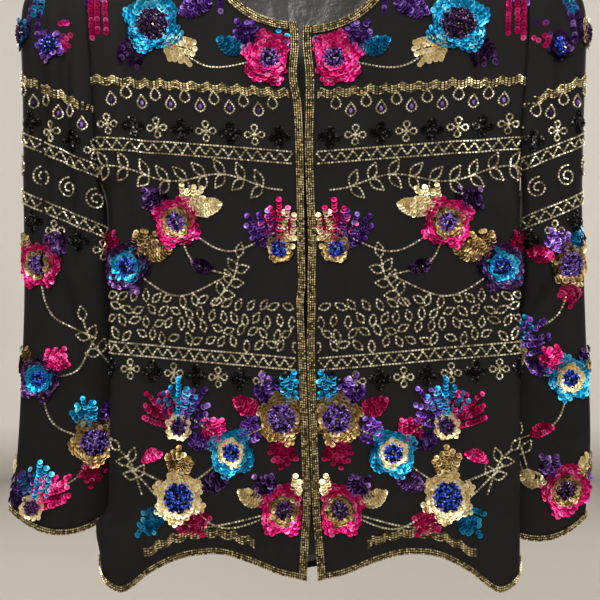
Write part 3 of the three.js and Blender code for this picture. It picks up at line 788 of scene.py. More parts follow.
def edge_rows(panel, *lines):
    """Rows of barrel beads along the lines, a little uneven as hand work is."""
    work = Work()
    for line in lines:
        places, heading = spaced(line, EDGE_PITCH, panel.surface(*line.T))
        uneven = chance.uniform(-1, 1, (2, len(places)))
        work.sew("old_gold", *places.T, heading + 7 * uneven[0], lift=1.45 + 0.2 * uneven[1],
                 long=EDGE_LONG, wide=EDGE_WIDE)
    return work


def leaf_line(base, tip, width, fullest=0.5, steps=18):
    """The outline of a leaf, from its base round its tip and back."""
    base, tip = np.array(base, float), np.array(tip, float)
    t = np.linspace(0, 1, steps)[:, None]
    half = width / 2 * np.sin(np.pi * t ** (math.log(0.5) / math.log(fullest)))
    along = tip - base
    side = np.array([-along[1], along[0]]) / np.hypot(*along)
    middle = base + along * t
    return np.concatenate([middle + side * half, (middle - side * half)[-2::-1]])


def leaf_loop(work, base, tip, width, fullest=0.5, finish="gold", pitch=BEAD_PITCH,
              wide=BEAD_WIDE):
    bead_line(work, leaf_line(base, tip, width, fullest), finish, pitch, wide)


CLOVER_REACH = 11.5


def clover(work, along, drop, finish, reach=CLOVER_REACH):
    """Four small loops round a bead."""
    wide = 3.6 if finish == "jet" else 2.3
    for quarter in range(4):
        heading = quarter * 90
        base, middle, tip = (toward((along, drop), heading, run) for run in (2, 0.62 * reach, reach))
        leaf_loop(work, base, tip, 6.8, 0.62, finish, FINE_PITCH, wide)
        if finish == "jet":
            work.sew(finish, *middle, lift=2.2, long=wide)
    work.sew(finish, along, drop, lift=1.4, long=3.2)


def teardrop(work, along, drop, height=14.5, gem=True):
    """A pointed drop of gold beads, with a violet stone in most of them."""
    base, tip = (along, drop + height / 2), (along, drop - height / 2)
    leaf_loop(work, base, tip, 10.5, 0.36, pitch=FINE_PITCH)
    if gem:
        work.sew("violet_bead", along, drop + 1.6, 90, lift=1.2, long=7, wide=4.6)


def zigzag_band(work, top, gap=13.0, period=13.0, start=0, end=HALF_GIRTH):
    """Two bead lines with a zigzag between them; top gives the upper line's drop."""
    along = np.arange(start, end + 1.0, 2.0)
    for offset in (0, gap):
        bead_line(work, np.stack([along, top(along) + offset], -1))
    turns = np.arange(start, end + 0.1, period / 2)
    high = np.arange(len(turns)) % 2 == 0
    drops = top(turns) + np.where(high, 2.2, gap - 2.2)
    bead_line(work, np.stack([turns, drops], -1))


def scallop_band(work, top, start, end, period=17.0, depth=4.0, rows=4):
    """Close rows of gold beads that dip between small upward points."""
    along = np.arange(start, end, 1.0)
    dip = depth * np.sin(np.pi * (along / period % 1)) ** 0.8
    for row in range(rows):
        bead_line(work, np.stack([along, top(along) + dip + 2.5 * row], -1), "old_gold",
                  wide=1.9)


SEQUIN, SEQUIN_PITCH, SEQUIN_LEAN = 6.6, 3.5, 31


def strand(work, finish, line, size=SEQUIN, lift=0.3):
    """Overlapped sequins from a root to a tip, each one lying over the one before it."""
    places, heading = spaced(line, SEQUIN_PITCH)
    sizes = size * chance.uniform(0.9, 1.06, len(places))
    places = places + chance.uniform(-0.5, 0.5, places.shape)
    heading = heading + 180 + chance.uniform(-13, 13, len(places))
    lean = SEQUIN_LEAN + chance.uniform(-8, 8, len(places))
    rise = lift + 0.5 * sizes * np.sin(np.radians(lean))
    work.sew(finish, *places.T, heading, lean, rise, sizes)


def frond(work, finish, root, heading, length, barbs=3, size=SEQUIN):
    """A feather of sequins: a spine with barbs that part from it on both sides."""
    root = np.array(root, float)
    tip = toward(root, heading + chance.uniform(-6, 6), length)
    for share in np.linspace(0, 0.5, barbs):
        start = mix(root, tip, share)
        for side in (-1, 1):
            turn = heading + side * chance.uniform(32, 48)
            reach = length * (1 - share) * chance.uniform(0.6, 0.85)
            half_way = toward(start, turn, reach / 2)
            end = toward(half_way, turn - 14 * side, reach / 2)
            strand(work, finish, smooth(start, half_way, end), size)
    strand(work, finish, smooth(root, tip), size, lift=0.8)


def fringe(work, finish, top, length, strands, apart=6.4, size=SEQUIN):
    """Strands of sequins that hang side by side, each one to its own length."""
    for offset in apart * (np.arange(strands) - (strands - 1) / 2):
        start = np.array(top, float) + (offset, 0)
        end = start + (chance.uniform(-2, 2), length * chance.uniform(0.62, 1.05))
        strand(work, finish, smooth(start, end), size)


def sequin_leaf(work, finish, base, tip, width, bow=0.0, size=SEQUIN):
    """Strands that part and close again between a base and a tip."""
    base, tip = np.array(base, float), np.array(tip, float)
    along = tip - base
    side = np.array([-along[1], along[0]]) / np.hypot(*along)
    strands = max(2, round(width / 4.8))
    t = np.linspace(0, 1, 9)[:, None]
    for share in np.linspace(-1, 1, strands):
        spread = share * (width - size) / 2 * np.sin(np.pi * t) ** 0.7
        line = base + along * t + side * (spread + bow * np.sin(np.pi * t))
        strand(work, finish, line, size, lift=0.3 + 0.25 * (1 - abs(share)))


PETAL_LIFT = 1.7


def petals(work, finish, centre, inner, outer, lobes=5, ruffle=0.08, size=SEQUIN, lift=0.0):
    """Rings of round sequins, the inner rings lying over the outer ones."""
    rings = max(1, round((outer - inner) / 3.7))
    for ring in range(rings):
        share = ring / max(1, rings - 1)
        radius = mix(outer - size / 2, inner + size / 2, share)
        count = max(5, round(2 * math.pi * radius / 4.9))
        turn = (np.arange(count) + 0.5 * ring) / count * 2 * np.pi
        away = radius * (1 + ruffle * np.sin(lobes * turn + centre[0]) * (1 - share))
        rim = np.abs(np.sin(turn * round(outer / 3.7) / 2)) - 0.6
        away = away + 3.4 * rim * (1 - share) + chance.uniform(-1, 1, count)
        lean = 17 + chance.uniform(-13, 13, count)
        sizes = size * chance.uniform(0.94, 1.06, count)
        work.sew(finish, centre[0] + away * np.cos(turn), centre[1] - away * np.sin(turn),
                 np.degrees(turn), lean,
                 PETAL_LIFT + lift + 0.5 * sizes * np.sin(np.radians(lean)) + 0.5 * ring, sizes)


def heap(work, finish, centre, inner, outer, height=2.6, wide=2.5):
    """Small beads heaped close in a low mound, open in the middle, with jet ones among them."""
    count = int((outer / (wide * 0.49)) ** 2)
    k = np.arange(count)
    away = outer * np.sqrt((k + 0.5) / count) + chance.uniform(-0.9, 0.9, count)
    turn = k * np.pi * (3 - math.sqrt(5)) + chance.uniform(-0.2, 0.2, count)
    rise = PETAL_LIFT + 0.5 * wide + height * (1 - (away / outer) ** 2)
    rise += chance.uniform(-0.6, 0.6, count)
    jet = chance.uniform(0, 1, count) < 0.14
    for kind, chosen in ((finish, (away > inner) & ~jet), ("jet", (away > inner) & jet)):
        across, up = away[chosen] * np.cos(turn[chosen]), away[chosen] * np.sin(turn[chosen])
        sizes = wide * chance.uniform(0.85, 1.2, len(across))
        work.sew(kind, centre[0] + across, centre[1] - up, chance.uniform(0, 360, len(across)),
                 0, rise[chosen], 1.25 * sizes, sizes)


# ---- templates: one bead, one sequin and one bugle, made once --------------------------
def deselect():
    bpy.ops.object.select_all(action="DESELECT")


def take_template():
    """The active object's triangles and corners as arrays; the object is then removed."""
    made = bpy.context.object
    bpy.ops.object.mode_set(mode="EDIT")
    bpy.ops.mesh.select_all(action="SELECT")
    bpy.ops.mesh.normals_make_consistent(inside=False)
    bpy.ops.mesh.quads_convert_to_tris(quad_method="FIXED", ngon_method="BEAUTY")
    bpy.ops.object.mode_set(mode="OBJECT")
    points = np.array([vertex.co[:] for vertex in made.data.vertices])
    faces = np.array([face.vertices[:] for face in made.data.polygons])
    bpy.data.objects.remove(made, do_unlink=True)
    return points, faces


def bead_template():
    deselect()
    bpy.ops.mesh.primitive_ico_sphere_add(subdivisions=1, radius=0.5)
    return take_template()


def bugle_template():
    """A short barrel that lies along its heading."""
    deselect()
    bpy.ops.mesh.primitive_cylinder_add(vertices=6, radius=0.5, depth=0.94)
    bpy.ops.object.mode_set(mode="EDIT")
    bpy.ops.transform.rotate(value=math.pi / 2, orient_axis="Y", center_override=(0, 0, 0))
    bpy.ops.object.mode_set(mode="OBJECT")
    return take_template()


def sequin_template(sides=8, cup=0.08, skin=0.05):
    """A thin cup with flat facets; the cup opens away from the cloth."""
    deselect()
    bpy.ops.mesh.primitive_circle_add(vertices=sides, radius=0.5, fill_type="TRIFAN")
    bpy.ops.object.mode_set(mode="EDIT")
    bpy.ops.mesh.select_all(action="SELECT")
    bpy.ops.mesh.duplicate()
    bpy.ops.transform.translate(value=(0, 0, -skin))
    bpy.ops.object.mode_set(mode="OBJECT")
    made = bpy.context.object
    for vertex in made.data.vertices:
        centre = math.hypot(vertex.co.x, vertex.co.y) < 0.1
        vertex.co.z = vertex.co.z - cup if centre else 0
    bpy.ops.object.mode_set(mode="EDIT")
    bpy.ops.mesh.select_all(action="SELECT")
    bpy.ops.mesh.remove_doubles(threshold=0.001)
    bpy.ops.object.mode_set(mode="OBJECT")
    return take_template()


BEAD, BUGLE, CUP = bead_template(), bugle_template(), sequin_template()


def stitched(panel, rows, corners):
    """The corners of every stitch of one finish, placed on the panel."""
    along, drop, heading, lean, lift, long, wide = rows.T
    point, away, up, out = panel.axes(along, drop)
    turn, tip = np.radians(heading)[:, None], np.radians(lean)[:, None]
    ahead = away * np.cos(turn) + up * np.sin(turn)
    beside = np.cross(out, ahead)
    ahead, above = ahead * np.cos(tip) + out * np.sin(tip), out * np.cos(tip) - ahead * np.sin(tip)
    scale = np.stack([long, wide, np.minimum(long, wide)], -1)
    local = corners[None] * scale[:, None]
    return (point + out * lift[:, None])[:, None] + (
        local[..., :1] * ahead[:, None] + local[..., 1:2] * beside[:, None]
        + local[..., 2:] * above[:, None])


def sew_on(name, parts, finishes, template, slot):
    """One joined piece: a copy of the template for every stitch that the panels hold."""
    corners, faces = template
    points, finish_of = [], []
    for panel, work in parts:
        for number, finish in enumerate(finishes):
            if finish not in work.rows:
                continue
            found = np.concatenate(work.rows[finish])
            found = found[panel.holds(found[:, 0], found[:, 1])]
            points.append(stitched(panel, found, corners))
            finish_of.append(np.full(len(found), number))
    points, finish_of = np.concatenate(points), np.concatenate(finish_of)
    count, size = points.shape[:2]
    all_faces = faces[None] + (np.arange(count) * size)[:, None, None]
    piece = mesh_piece(
        name, points.reshape(-1, 3), all_faces.reshape(-1, 3), cell_map(count, len(faces)),
        [FINISH[finish] for finish in finishes], np.repeat(finish_of, len(faces)))
    mesh = piece.data
    mesh.polygons.foreach_set("use_smooth", np.zeros(len(mesh.polygons), bool))
    # tint: one random share for each stitch; the finishes take from it its tone, its painted shade and
    # painted highlight, its roughness and its coat.
    tint = mesh.attributes.new("tint", "FLOAT", "POINT")
    tint.data.foreach_set("value", np.repeat(chance.uniform(0, 1, count), size))
    # spot: from 0 at a stitch's middle to 1 at its rim; the sequin finishes use it to paint shade
    # toward the middle and highlights on the rim.
    spot = mesh.attributes.new("spot", "FLOAT", "POINT")
    from_middle = 2 * np.hypot(corners[:, 0], corners[:, 1])
    spot.data.foreach_set("value", np.tile(from_middle, count))
    return piece


def cell_map(count, faces):
    """A small square for every stitch, with a small triangle in it for every face."""
    across, inside = math.ceil(math.sqrt(count)), math.ceil(math.sqrt(faces))
    cell, face = np.divmod(np.arange(count * faces), faces)
    corner = np.stack([cell % across, cell // across], -1) / across
    within = np.stack([face % inside, face // inside], -1) / (across * inside)
    triangle = np.array([[0.12, 0.12], [0.88, 0.12], [0.12, 0.88]]) / (across * inside)
    return (corner + within)[:, None] + triangle


# ---- materials -------------------------------------------------------------------------
class Value:
    """A shader socket that Python's arithmetic signs work on."""

    def __init__(self, tree, socket):
        self.tree = tree
        self.socket = socket

    def combine(self, operation, first, second):
        node = self.tree.nodes.new("ShaderNodeMath")
        node.operation = operation
        for socket, value in zip(node.inputs, (first, second)):
            plug(self.tree, socket, value)
        return Value(self.tree, node.outputs[0])

    def __add__(self, other):
        return self.combine("ADD", self, other)

    def __sub__(self, other):
        return self.combine("SUBTRACT", self, other)

    def __rsub__(self, other):
        return self.combine("SUBTRACT", other, self)

    def __mul__(self, other):
        return self.combine("MULTIPLY", self, other)

    def __pow__(self, other):
        return self.combine("POWER", self, other)

    __radd__ = __add__
    __rmul__ = __mul__


def plug(tree, socket, value):
    if isinstance(value, Value):
        tree.links.new(value.socket, socket)
    else:
        socket.default_value = value


class Finish:
    """A new material with its shader, and one way to add any other node."""

    def __init__(self, name, **constants):
        self.material = bpy.data.materials.new(name)
        self.material.use_nodes = True
        self.tree = self.material.node_tree
        self.shader = self.tree.nodes["Principled BSDF"]
        self.set(**constants)

    def set(self, **sockets):
        """Values or links of the shader's sockets, with _ for a space in a name."""
        for name, value in sockets.items():
            plug(self.tree, self.shader.inputs[name.replace("_", " ")], value)

    def node(self, kind, settings=None, sockets=None, output=0):
        node = self.tree.nodes.new("ShaderNode" + kind)
        for name, value in (settings or {}).items():
            setattr(node, name, value)
        for name, value in (sockets or {}).items():
            plug(self.tree, node.inputs[name], value)
        return Value(self.tree, node.outputs[output])

    def place(self):
        return self.node("TexCoord", output="Object")

    def noise(self, size, detail=2.0, stretch=(1, 1, 1)):
        """Soft noise whose patches are about this many metres across."""
        where = self.node("Mapping", sockets={"Vector": self.place(), "Scale": stretch})
        return self.node("TexNoise", sockets={"Vector": where, "Scale": 1 / size, "Detail": detail})

    def attribute(self, name):
        return self.node("Attribute", {"attribute_name": name}, output="Fac")

    def mixed(self, share, low, high):
        """A colour between two others, which are colours or links."""
        return self.node("Mix", {"data_type": "RGBA"},
                         {0: share, 6: low, 7: high}, output=2)

    def bump(self, height, distance, strength=0.5):
        return self.node("Bump", sockets={
            "Height": height, "Distance": distance, "Strength": strength})


def rgb(*parts):
    return (*parts, 1.0)


def crepe():
    """Fine near-black crepe with a dull sheen."""
    made = Finish("crepe", Sheen_Weight=0.012, Sheen_Roughness=0.4,
                  Sheen_Tint=rgb(0.62, 0.6, 0.62), Specular_IOR_Level=0.1)
    pebble = made.noise(0.0014, 3)
    cloud = made.noise(0.06, 3)
    made.set(
        Base_Color=made.mixed(pebble * 0.5 + cloud * 0.5, rgb(0.003, 0.0028, 0.003),
                              rgb(0.012, 0.011, 0.0115)),
        Roughness=0.56 + 0.2 * pebble,
        Normal=made.bump(pebble, 0.0004, 0.5),
    )
    return made.material


def lining_satin():
    """Thin grey-black lining, creased and shiny, its colour painted darker in the creases' hollows and
    lighter on their ridges as shade and highlight.
    """
    made = Finish("lining_satin", Specular_IOR_Level=0.6)
    crumple = made.noise(0.035, 4, (1, 1, 0.7))
    fine = made.noise(0.008, 3)
    # Painted shade and highlight: the colour follows the creases' bump, dark in the hollows and light
    # on the ridges.
    made.set(
        Base_Color=made.mixed(crumple, rgb(0.012, 0.012, 0.013), rgb(0.05, 0.05, 0.053)),
        Roughness=0.24 + 0.22 * fine,
        Normal=made.bump(crumple + 0.25 * fine, 0.006, 0.6),
    )
    return made.material


def bead_glass(name, dark, bright, metal=0.6, rough=0.24):
    """Small glass or metal beads whose colours differ at random from bead to bead: partly their own
    tone, partly painted shadow at the dark end and a painted highlight at the bright end, so most read
    dull and a few bright.
    """
    made = Finish(name, Metallic=metal, Specular_IOR_Level=0.1, Coat_Roughness=0.08,
                  Coat_IOR=2.2)
    tint = made.attribute("tint")
    # Base colour: low-tint beads take the dark painted-shadow tone, high-tint ones the bright
    # painted-highlight tone.
    made.set(Base_Color=made.mixed(tint ** 1.2, dark, bright),
             Roughness=rough + 0.14 * (1 - tint), Coat_Weight=0.8 * tint ** 5)
    return made.material


def sequin_foil(name, dark, main, light, metal=0.8):
    """Cupped foil sequins: painted shade darkens each toward its middle, and some sequins more than
    others, and a few have a painted highlight on their rims.
    """
    made = Finish(name, Metallic=metal, Specular_IOR_Level=0.25, Coat_Roughness=0.06)
    tint, spot = made.attribute("tint"), made.attribute("spot")
    # Painted shade: from dark at the middle, where the next sequin overlaps it, to the main colour at
    # the rim; darker still on sequins with a low tint.
    face = made.mixed(spot ** 1.1 * (0.4 + 0.6 * tint), dark, main)
    # Painted highlight: a few sequins' rims are mixed toward the light colour.
    painted_glint = tint ** 6 * spot
    made.set(Base_Color=made.mixed(painted_glint * 0.8, face, light),
             Roughness=0.2 + 0.16 * tint, Coat_Weight=0.7 * tint ** 4)
    return made.material


def varnished_wood():
    """Beech with long grain and small flecks, under a thin varnish."""
    made = Finish("varnished_beech", Coat_Weight=0.4, Coat_Roughness=0.2)
    grain = made.noise(0.004, 3, (0.06, 1, 1))
    fleck = made.noise(0.0012, 2, (0.25, 1, 1))
    made.set(Base_Color=made.mixed(0.7 * grain + 0.3 * fleck, rgb(0.3, 0.15, 0.06),
                                   rgb(0.62, 0.4, 0.2)),
             Roughness=0.32 + 0.2 * fleck, Normal=made.bump(grain, 0.0006, 0.3))
    return made.material


def plated_wire():
    """Bright plated wire with faint drawing marks and duller patches."""
    made = Finish("plated_wire", Metallic=1.0)
    mark = made.noise(0.0008, 2, (1, 1, 0.1))
    dull = made.noise(0.01, 2)
    made.set(Base_Color=made.mixed(dull, rgb(0.5, 0.5, 0.52), rgb(0.8, 0.81, 0.83)),
             Roughness=0.16 + 0.16 * dull + 0.06 * mark, Normal=made.bump(mark, 0.0001, 0.2))
    return made.material


# In each finish the darkest colour is painted shade and the lightest a painted highlight; a sequin's
# middle colour is its own.
FINISH = {
    "gold": bead_glass("pale_gold_beads", rgb(0.17, 0.135, 0.06), rgb(1, 0.94, 0.7), 0.75),
    "old_gold": bead_glass("old_gold_beads", rgb(0.08, 0.055, 0.017), rgb(1, 0.84, 0.46), 0.9),
    "jet": bead_glass("jet_beads", rgb(0.0004, 0.0004, 0.0005), rgb(0.002, 0.002, 0.003), 0, 0.1),
    "violet_bead": bead_glass("violet_beads", rgb(0.02, 0.006, 0.07), rgb(0.26, 0.13, 0.62), 0.5),
    "plum_bead": bead_glass("plum_beads", rgb(0.004, 0.0015, 0.008), rgb(0.09, 0.025, 0.16), 0.5),
    "cobalt_bead": bead_glass("cobalt_beads", rgb(0.001, 0.002, 0.035), rgb(0.03, 0.12, 0.9), 0.6),
    "fuchsia": sequin_foil("fuchsia_sequins", rgb(0.16, 0.0005, 0.035), rgb(0.88, 0.004, 0.19),
                           rgb(1, 0.2, 0.6)),
    "teal": sequin_foil("turquoise_sequins", rgb(0.0008, 0.06, 0.17), rgb(0.0015, 0.42, 0.8),
                        rgb(0.16, 0.85, 1)),
    "violet": sequin_foil("violet_sequins", rgb(0.012, 0.003, 0.04), rgb(0.14, 0.035, 0.36),
                          rgb(0.5, 0.33, 1)),
    "plum": sequin_foil("plum_sequins", rgb(0.005, 0.0015, 0.011), rgb(0.055, 0.014, 0.1),
                        rgb(0.3, 0.13, 0.48)),
    "champagne": sequin_foil("champagne_sequins", rgb(0.5, 0.36, 0.13), rgb(1, 0.88, 0.54),
                             rgb(1, 0.98, 0.86), 0.72),
    "bronze": sequin_foil("bronze_sequins", rgb(0.07, 0.035, 0.008), rgb(0.4, 0.26, 0.09),
                          rgb(0.85, 0.66, 0.36), 0.85),
}
BARRELS = ("gold", "old_gold", "jet")
STONES = ("violet_bead", "plum_bead", "cobalt_bead")
SEQUINS = ("fuchsia", "teal", "violet", "plum", "champagne", "bronze")


# ---- the beadwork's design -------------------------------------------------------------
# The bands lie at plain shares of the cloth's length. Between them the motifs stand on a
# staggered lattice that fills each zone evenly, and take their kinds and colours by turns.
LENGTH, SLEEVE_LENGTH, SLEEVE_REACH = 700, 660, 130
HEAD_REACH = SLEEVE_REACH * 2 / 3
BAND_RISE = LENGTH / 35
SLEEVE_SLANT = 0.4
BAND_DEPTH = 13
ROW_PITCH = 27
DROP_PITCH = 16
CLOVER_AWAY = CLOVER_REACH + 4
CLOVER_ROOM = CLOVER_AWAY + CLOVER_REACH + 3
GARLAND_ROOM, GARLAND_WAVE = 24, 6
LACE_ROWS, LACE_PITCH, LACE_ABOVE_BAND = 4, 14.5, 11
HEM_SCALLOP_RISE, HEM_SCALLOP_ROOM, CUFF_ROOM = 30, 16, 18
SLEEVE_TOP = 44
YOKE_SIZE, UPPER_SIZE, LOWER_SIZE, HEAD_SIZE, ARM_SIZE = 31, 29, 29, 17, 27
SHOULDER_FRINGE, SLEEVE_FRINGE = 66, 60
COLOURS = ("fuchsia", "teal", "violet", "fuchsia", "champagne", "plum", "bronze")


def body_band(share):
    """A band's upper line: level behind, and falling evenly toward the front edge."""
    return lambda along: LENGTH * share + BAND_RISE * np.clip(1 - along / SIDE_SEAM, 0, 1)


def sleeve_band(share):
    """A band's upper line round a sleeve, from its outer edge down to the arm's seam."""
    return lambda along: SLEEVE_LENGTH * share + SLEEVE_SLANT * np.abs(along)


SCALLOPS, UPPER_BAND, LOWER_BAND = (body_band(share) for share in (1 / 5, 3 / 10, 5 / 8))
SLEEVE_SCALLOPS, SLEEVE_UPPER_BAND, SLEEVE_LOWER_BAND = (
    sleeve_band(share) for share in (1 / 5, 3 / 10, 2 / 5))


def staggered(top, bottom, width, rows, columns):
    """Places that fill a zone evenly, each row half a step across from the one above it."""
    for row in range(rows):
        for column in range(columns):
            along = width * (column + 0.25 + 0.5 * (row % 2)) / columns
            yield np.array([along, mix(top(along), bottom(along), (row + 0.5) / rows)])


def drop_row(work, start, end, line):
    """Drops of beads under a band; every other one hangs lower and holds a stone."""
    for count, along in enumerate(np.arange(start, end, DROP_PITCH)):
        lower = count % 2
        teardrop(work, along, line(along) + 17 + 9 * lower, gem=bool(lower))


def clover_row(work, start, end, line, below):
    """Jet and gold clovers by turns, this far below a band's upper line."""
    for count, along in enumerate(np.arange(start, end, ROW_PITCH)):
        clover(work, along, line(along) + below, "gold" if count % 2 else "jet")


def leafy_stem(work, *points, pitch=22, leaf=19, width=9.5, turn=54):
    """A stem of gold beads with pairs of looped leaves up it and one at its tip."""
    stem = smooth(*points)
    bead_line(work, stem)
    places, headings = spaced(stem, pitch)
    for place, heading in zip(places[1:-1], headings[1:-1]):
        for side in (turn, -turn):
            leaf_loop(work, place, toward(place, heading + side, leaf), width, 0.45)
    leaf_loop(work, places[-1], toward(places[-1], headings[-1], leaf), width, 0.45)


def curl(work, centre, radius, start, hand=1, turns=1.5):
    """A scroll of gold beads that winds in toward its centre."""
    share = np.linspace(0, 1, 60)
    turn = math.radians(start) + hand * 2 * math.pi * turns * share
    away = radius * (1 - 0.75 * share)
    bead_line(work, np.array(centre, float)
              + np.stack([away * np.cos(turn), -away * np.sin(turn)], -1))


def flower(work, centre, size, outer, inner=None, heart="cobalt_bead"):
    """A ruffled ring of sequins, a smaller one on it, and a heap of beads in the middle."""
    petals(work, outer, centre, 0.5 * size, size, chance.integers(4, 7), 0.14)
    if inner:
        petals(work, inner, centre, 0.3 * size, 0.68 * size, 5, 0.1, lift=0.9)
    if heart:
        heap(work, heart, centre, 0.08 * size, (0.42 if inner else 0.6) * size)


def colour(turn):
    return COLOURS[turn % len(COLOURS)]


def side_leaf(work, place, turn, size):
    """A leaf of sequins that parts from a motif, to the left and the right by turns."""
    heading = 160 if turn % 2 else 20
    base, tip = toward(place, heading, size), toward(place, heading, 2.0 * size)
    sequin_leaf(work, colour(turn + 1), base, tip, 0.75 * size, 2)


def fan(work, place, turn, size, headings):
    """Fronds that spread from under a flower, each one in the next colour."""
    for count, heading in enumerate(headings):
        root = toward(place, heading, 0.55 * size)
        frond(work, colour(turn + count), root, heading, 1.25 * size)


def ruffled(work, place, turn, size):
    """A flower of two colours with a fan over it, and a leaf."""
    fan(work, place, turn + 1, size, (132, 48))
    flower(work, place, size, colour(turn), colour(turn + 3), STONES[turn % len(STONES)])
    side_leaf(work, place, turn, size)


def plumed(work, place, turn, size):
    """A flower of one colour with fronds over it and under it, and a leaf."""
    fan(work, place, turn + 2, size, (90, 228, 312) if turn % 2 else (110, 60, 270))
    flower(work, place, 0.95 * size, colour(turn), heart=STONES[turn % len(STONES)])
    side_leaf(work, place, turn, size)


def feathers(work, place, turn, size):
    """Three fronds that fan up from one root, with a small flower on it."""
    root = toward(place, 270, 0.7 * size)
    for count in range(3):
        frond(work, colour(turn + count), root, 48 + 42 * count, 1.9 * size)
    flower(work, root, 0.55 * size, colour(turn + 4), heart=STONES[turn % len(STONES)])


def branch(work, place, turn, size):
    """A gold stem with looped leaves, and a leaf of sequins beside it."""
    lean = 60 if turn % 2 else 120
    leafy_stem(work, toward(place, lean + 180, 1.3 * size), toward(place, lean + 90, 0.2 * size),
               toward(place, lean, 0.8 * size), pitch=18, leaf=16)
    side_leaf(work, place, turn, 0.8 * size)


MOTIFS = (ruffled, plumed, feathers, ruffled, branch)


def tendril(work, start, end, bow):
    """A thin curved stem of beads from one motif's place to the next one's."""
    middle = mix(start, end, 0.5) + bow * np.array([end[1] - start[1], start[0] - end[0]])
    bead_line(work, smooth(start, middle, end))


def fill(work, places, turn, size):
    """Motifs at these places, their kinds and colours by turns, with tendrils between them."""
    places = list(places)
    for count, (start, end) in enumerate(zip(places, places[1:])):
        tendril(work, start, end, 0.22 if count % 2 else -0.22)
    for count, place in enumerate(places, turn):
        MOTIFS[count % len(MOTIFS)](work, place, count, size * chance.uniform(0.9, 1.08))


def yoke_top(along):
    return top_drop(along, FRONT_NECK_DROP[RIGHT]) + NECK_EDGING


def below_garland(along):
    return UPPER_BAND(along) + BAND_DEPTH + 2 * GARLAND_ROOM


def above_lacework(along):
    return LOWER_BAND(along) - LACE_PITCH * LACE_ROWS


def below_clovers(along):
    return LOWER_BAND(along) + BAND_DEPTH + CLOVER_ROOM


def above_hem(along):
    return hem_drop(along) - HEM_SCALLOP_RISE


def above_hem_scallops(along):
    return above_hem(along) - HEM_SCALLOP_ROOM


def garland(work, top, start, end):
    """A leafy stem that waves along under a band."""
    along = np.arange(start, end, SIDE_SEAM / 16)
    wave = GARLAND_WAVE * np.sin(4 * np.pi * along / SIDE_SEAM)
    leafy_stem(work, *np.stack([along, top(along) + BAND_DEPTH + GARLAND_ROOM + wave], -1))


def shoulder_fringes(work, width, columns, top, length, strands):
    """Fringes that hang between the columns of flowers."""
    for column in range(columns):
        along = width * (column + 0.75) / columns
        fringe(work, colour(column + 2), (along, top(along)), length, strands, 7.5)
        fringe(work, colour(column + 1), (along, top(along)), 0.35 * length, strands, 6.5)


def lacework(work):
    """Staggered rows of small gold loops above the lower band, each turned its own way."""
    for row in range(LACE_ROWS):
        start = LACE_PITCH * (1 + 0.5 * (row % 2))
        for along in np.arange(start, SIDE_SEAM - LACE_PITCH / 2, LACE_PITCH):
            drop = LOWER_BAND(along) - LACE_ABOVE_BAND - LACE_PITCH * row + chance.uniform(-2.5, 2.5)
            middle = (along + chance.uniform(-2.5, 2.5), drop)
            turn, reach = chance.uniform(15, 165), chance.uniform(5.8, 7.6)
            leaf_loop(work, toward(middle, turn, -reach), toward(middle, turn, reach), 7.4, 0.42)


def body_work():
    """One half's work from its front edge to the centre back; the back mirrors the front."""
    front = Work()
    fill(front, staggered(yoke_top, SCALLOPS, SIDE_SEAM, 1, 2), 0, YOKE_SIZE)
    shoulder_fringes(front, SIDE_SEAM, 2, yoke_top, SHOULDER_FRINGE, 4)
    garland(front, UPPER_BAND, ROW_PITCH, SIDE_SEAM)
    fill(front, staggered(below_garland, above_lacework, SIDE_SEAM, 2, 2), 2, UPPER_SIZE)
    lacework(front)
    fill(front, staggered(below_clovers, above_hem_scallops, SIDE_SEAM, 3, 2), 6, LOWER_SIZE)
    drop_row(front, 2 * DROP_PITCH, SIDE_SEAM - 2 * DROP_PITCH, SCALLOPS)
    clover_row(front, ROW_PITCH, SIDE_SEAM, UPPER_BAND, -CLOVER_AWAY)
    clover_row(front, ROW_PITCH, SIDE_SEAM, LOWER_BAND, BAND_DEPTH + CLOVER_AWAY)
    scallop_band(front, above_hem, SIDE_SEAM / 4, SIDE_SEAM * 3 / 4)
    work = Work()
    work.add(front)
    work.add(front.reflected(SIDE_SEAM))
    zigzag_band(work, UPPER_BAND)
    zigzag_band(work, LOWER_BAND)
    scallop_band(work, SCALLOPS, 0, HALF_GIRTH)
    return work


def sleeve_top(along):
    return SLEEVE_TOP + SLEEVE_SLANT * along


def below_sleeve_clovers(along):
    return SLEEVE_LOWER_BAND(along) + BAND_DEPTH + CLOVER_ROOM


def above_cuff(_along):
    return SLEEVE_LENGTH - CUFF_ROOM


def sleeve_face(turn):
    """One face of a sleeve; the turn is where its round of kinds and colours starts."""
    work = Work()
    for count, place in enumerate(staggered(sleeve_top, SLEEVE_SCALLOPS, HEAD_REACH, 1, 2), turn):
        flower(work, place, HEAD_SIZE, colour(count), heart=STONES[count % len(STONES)])
    shoulder_fringes(work, HEAD_REACH, 2, sleeve_top, SLEEVE_FRINGE, 2)
    drop_row(work, DROP_PITCH, SLEEVE_REACH - DROP_PITCH, SLEEVE_SCALLOPS)
    clover_row(work, ROW_PITCH, SLEEVE_REACH, SLEEVE_UPPER_BAND, -CLOVER_AWAY)
    clover_row(work, ROW_PITCH, SLEEVE_REACH, SLEEVE_LOWER_BAND, BAND_DEPTH + CLOVER_AWAY)
    for place in staggered(SLEEVE_UPPER_BAND, SLEEVE_LOWER_BAND, SLEEVE_REACH, 1, 4):
        curl(work, place + (0, BAND_DEPTH / 2), 12, 90, 1 if turn % 2 else -1)
    fill(work, staggered(below_sleeve_clovers, above_cuff, SLEEVE_REACH, 5, 1), turn + 2, ARM_SIZE)
    return work


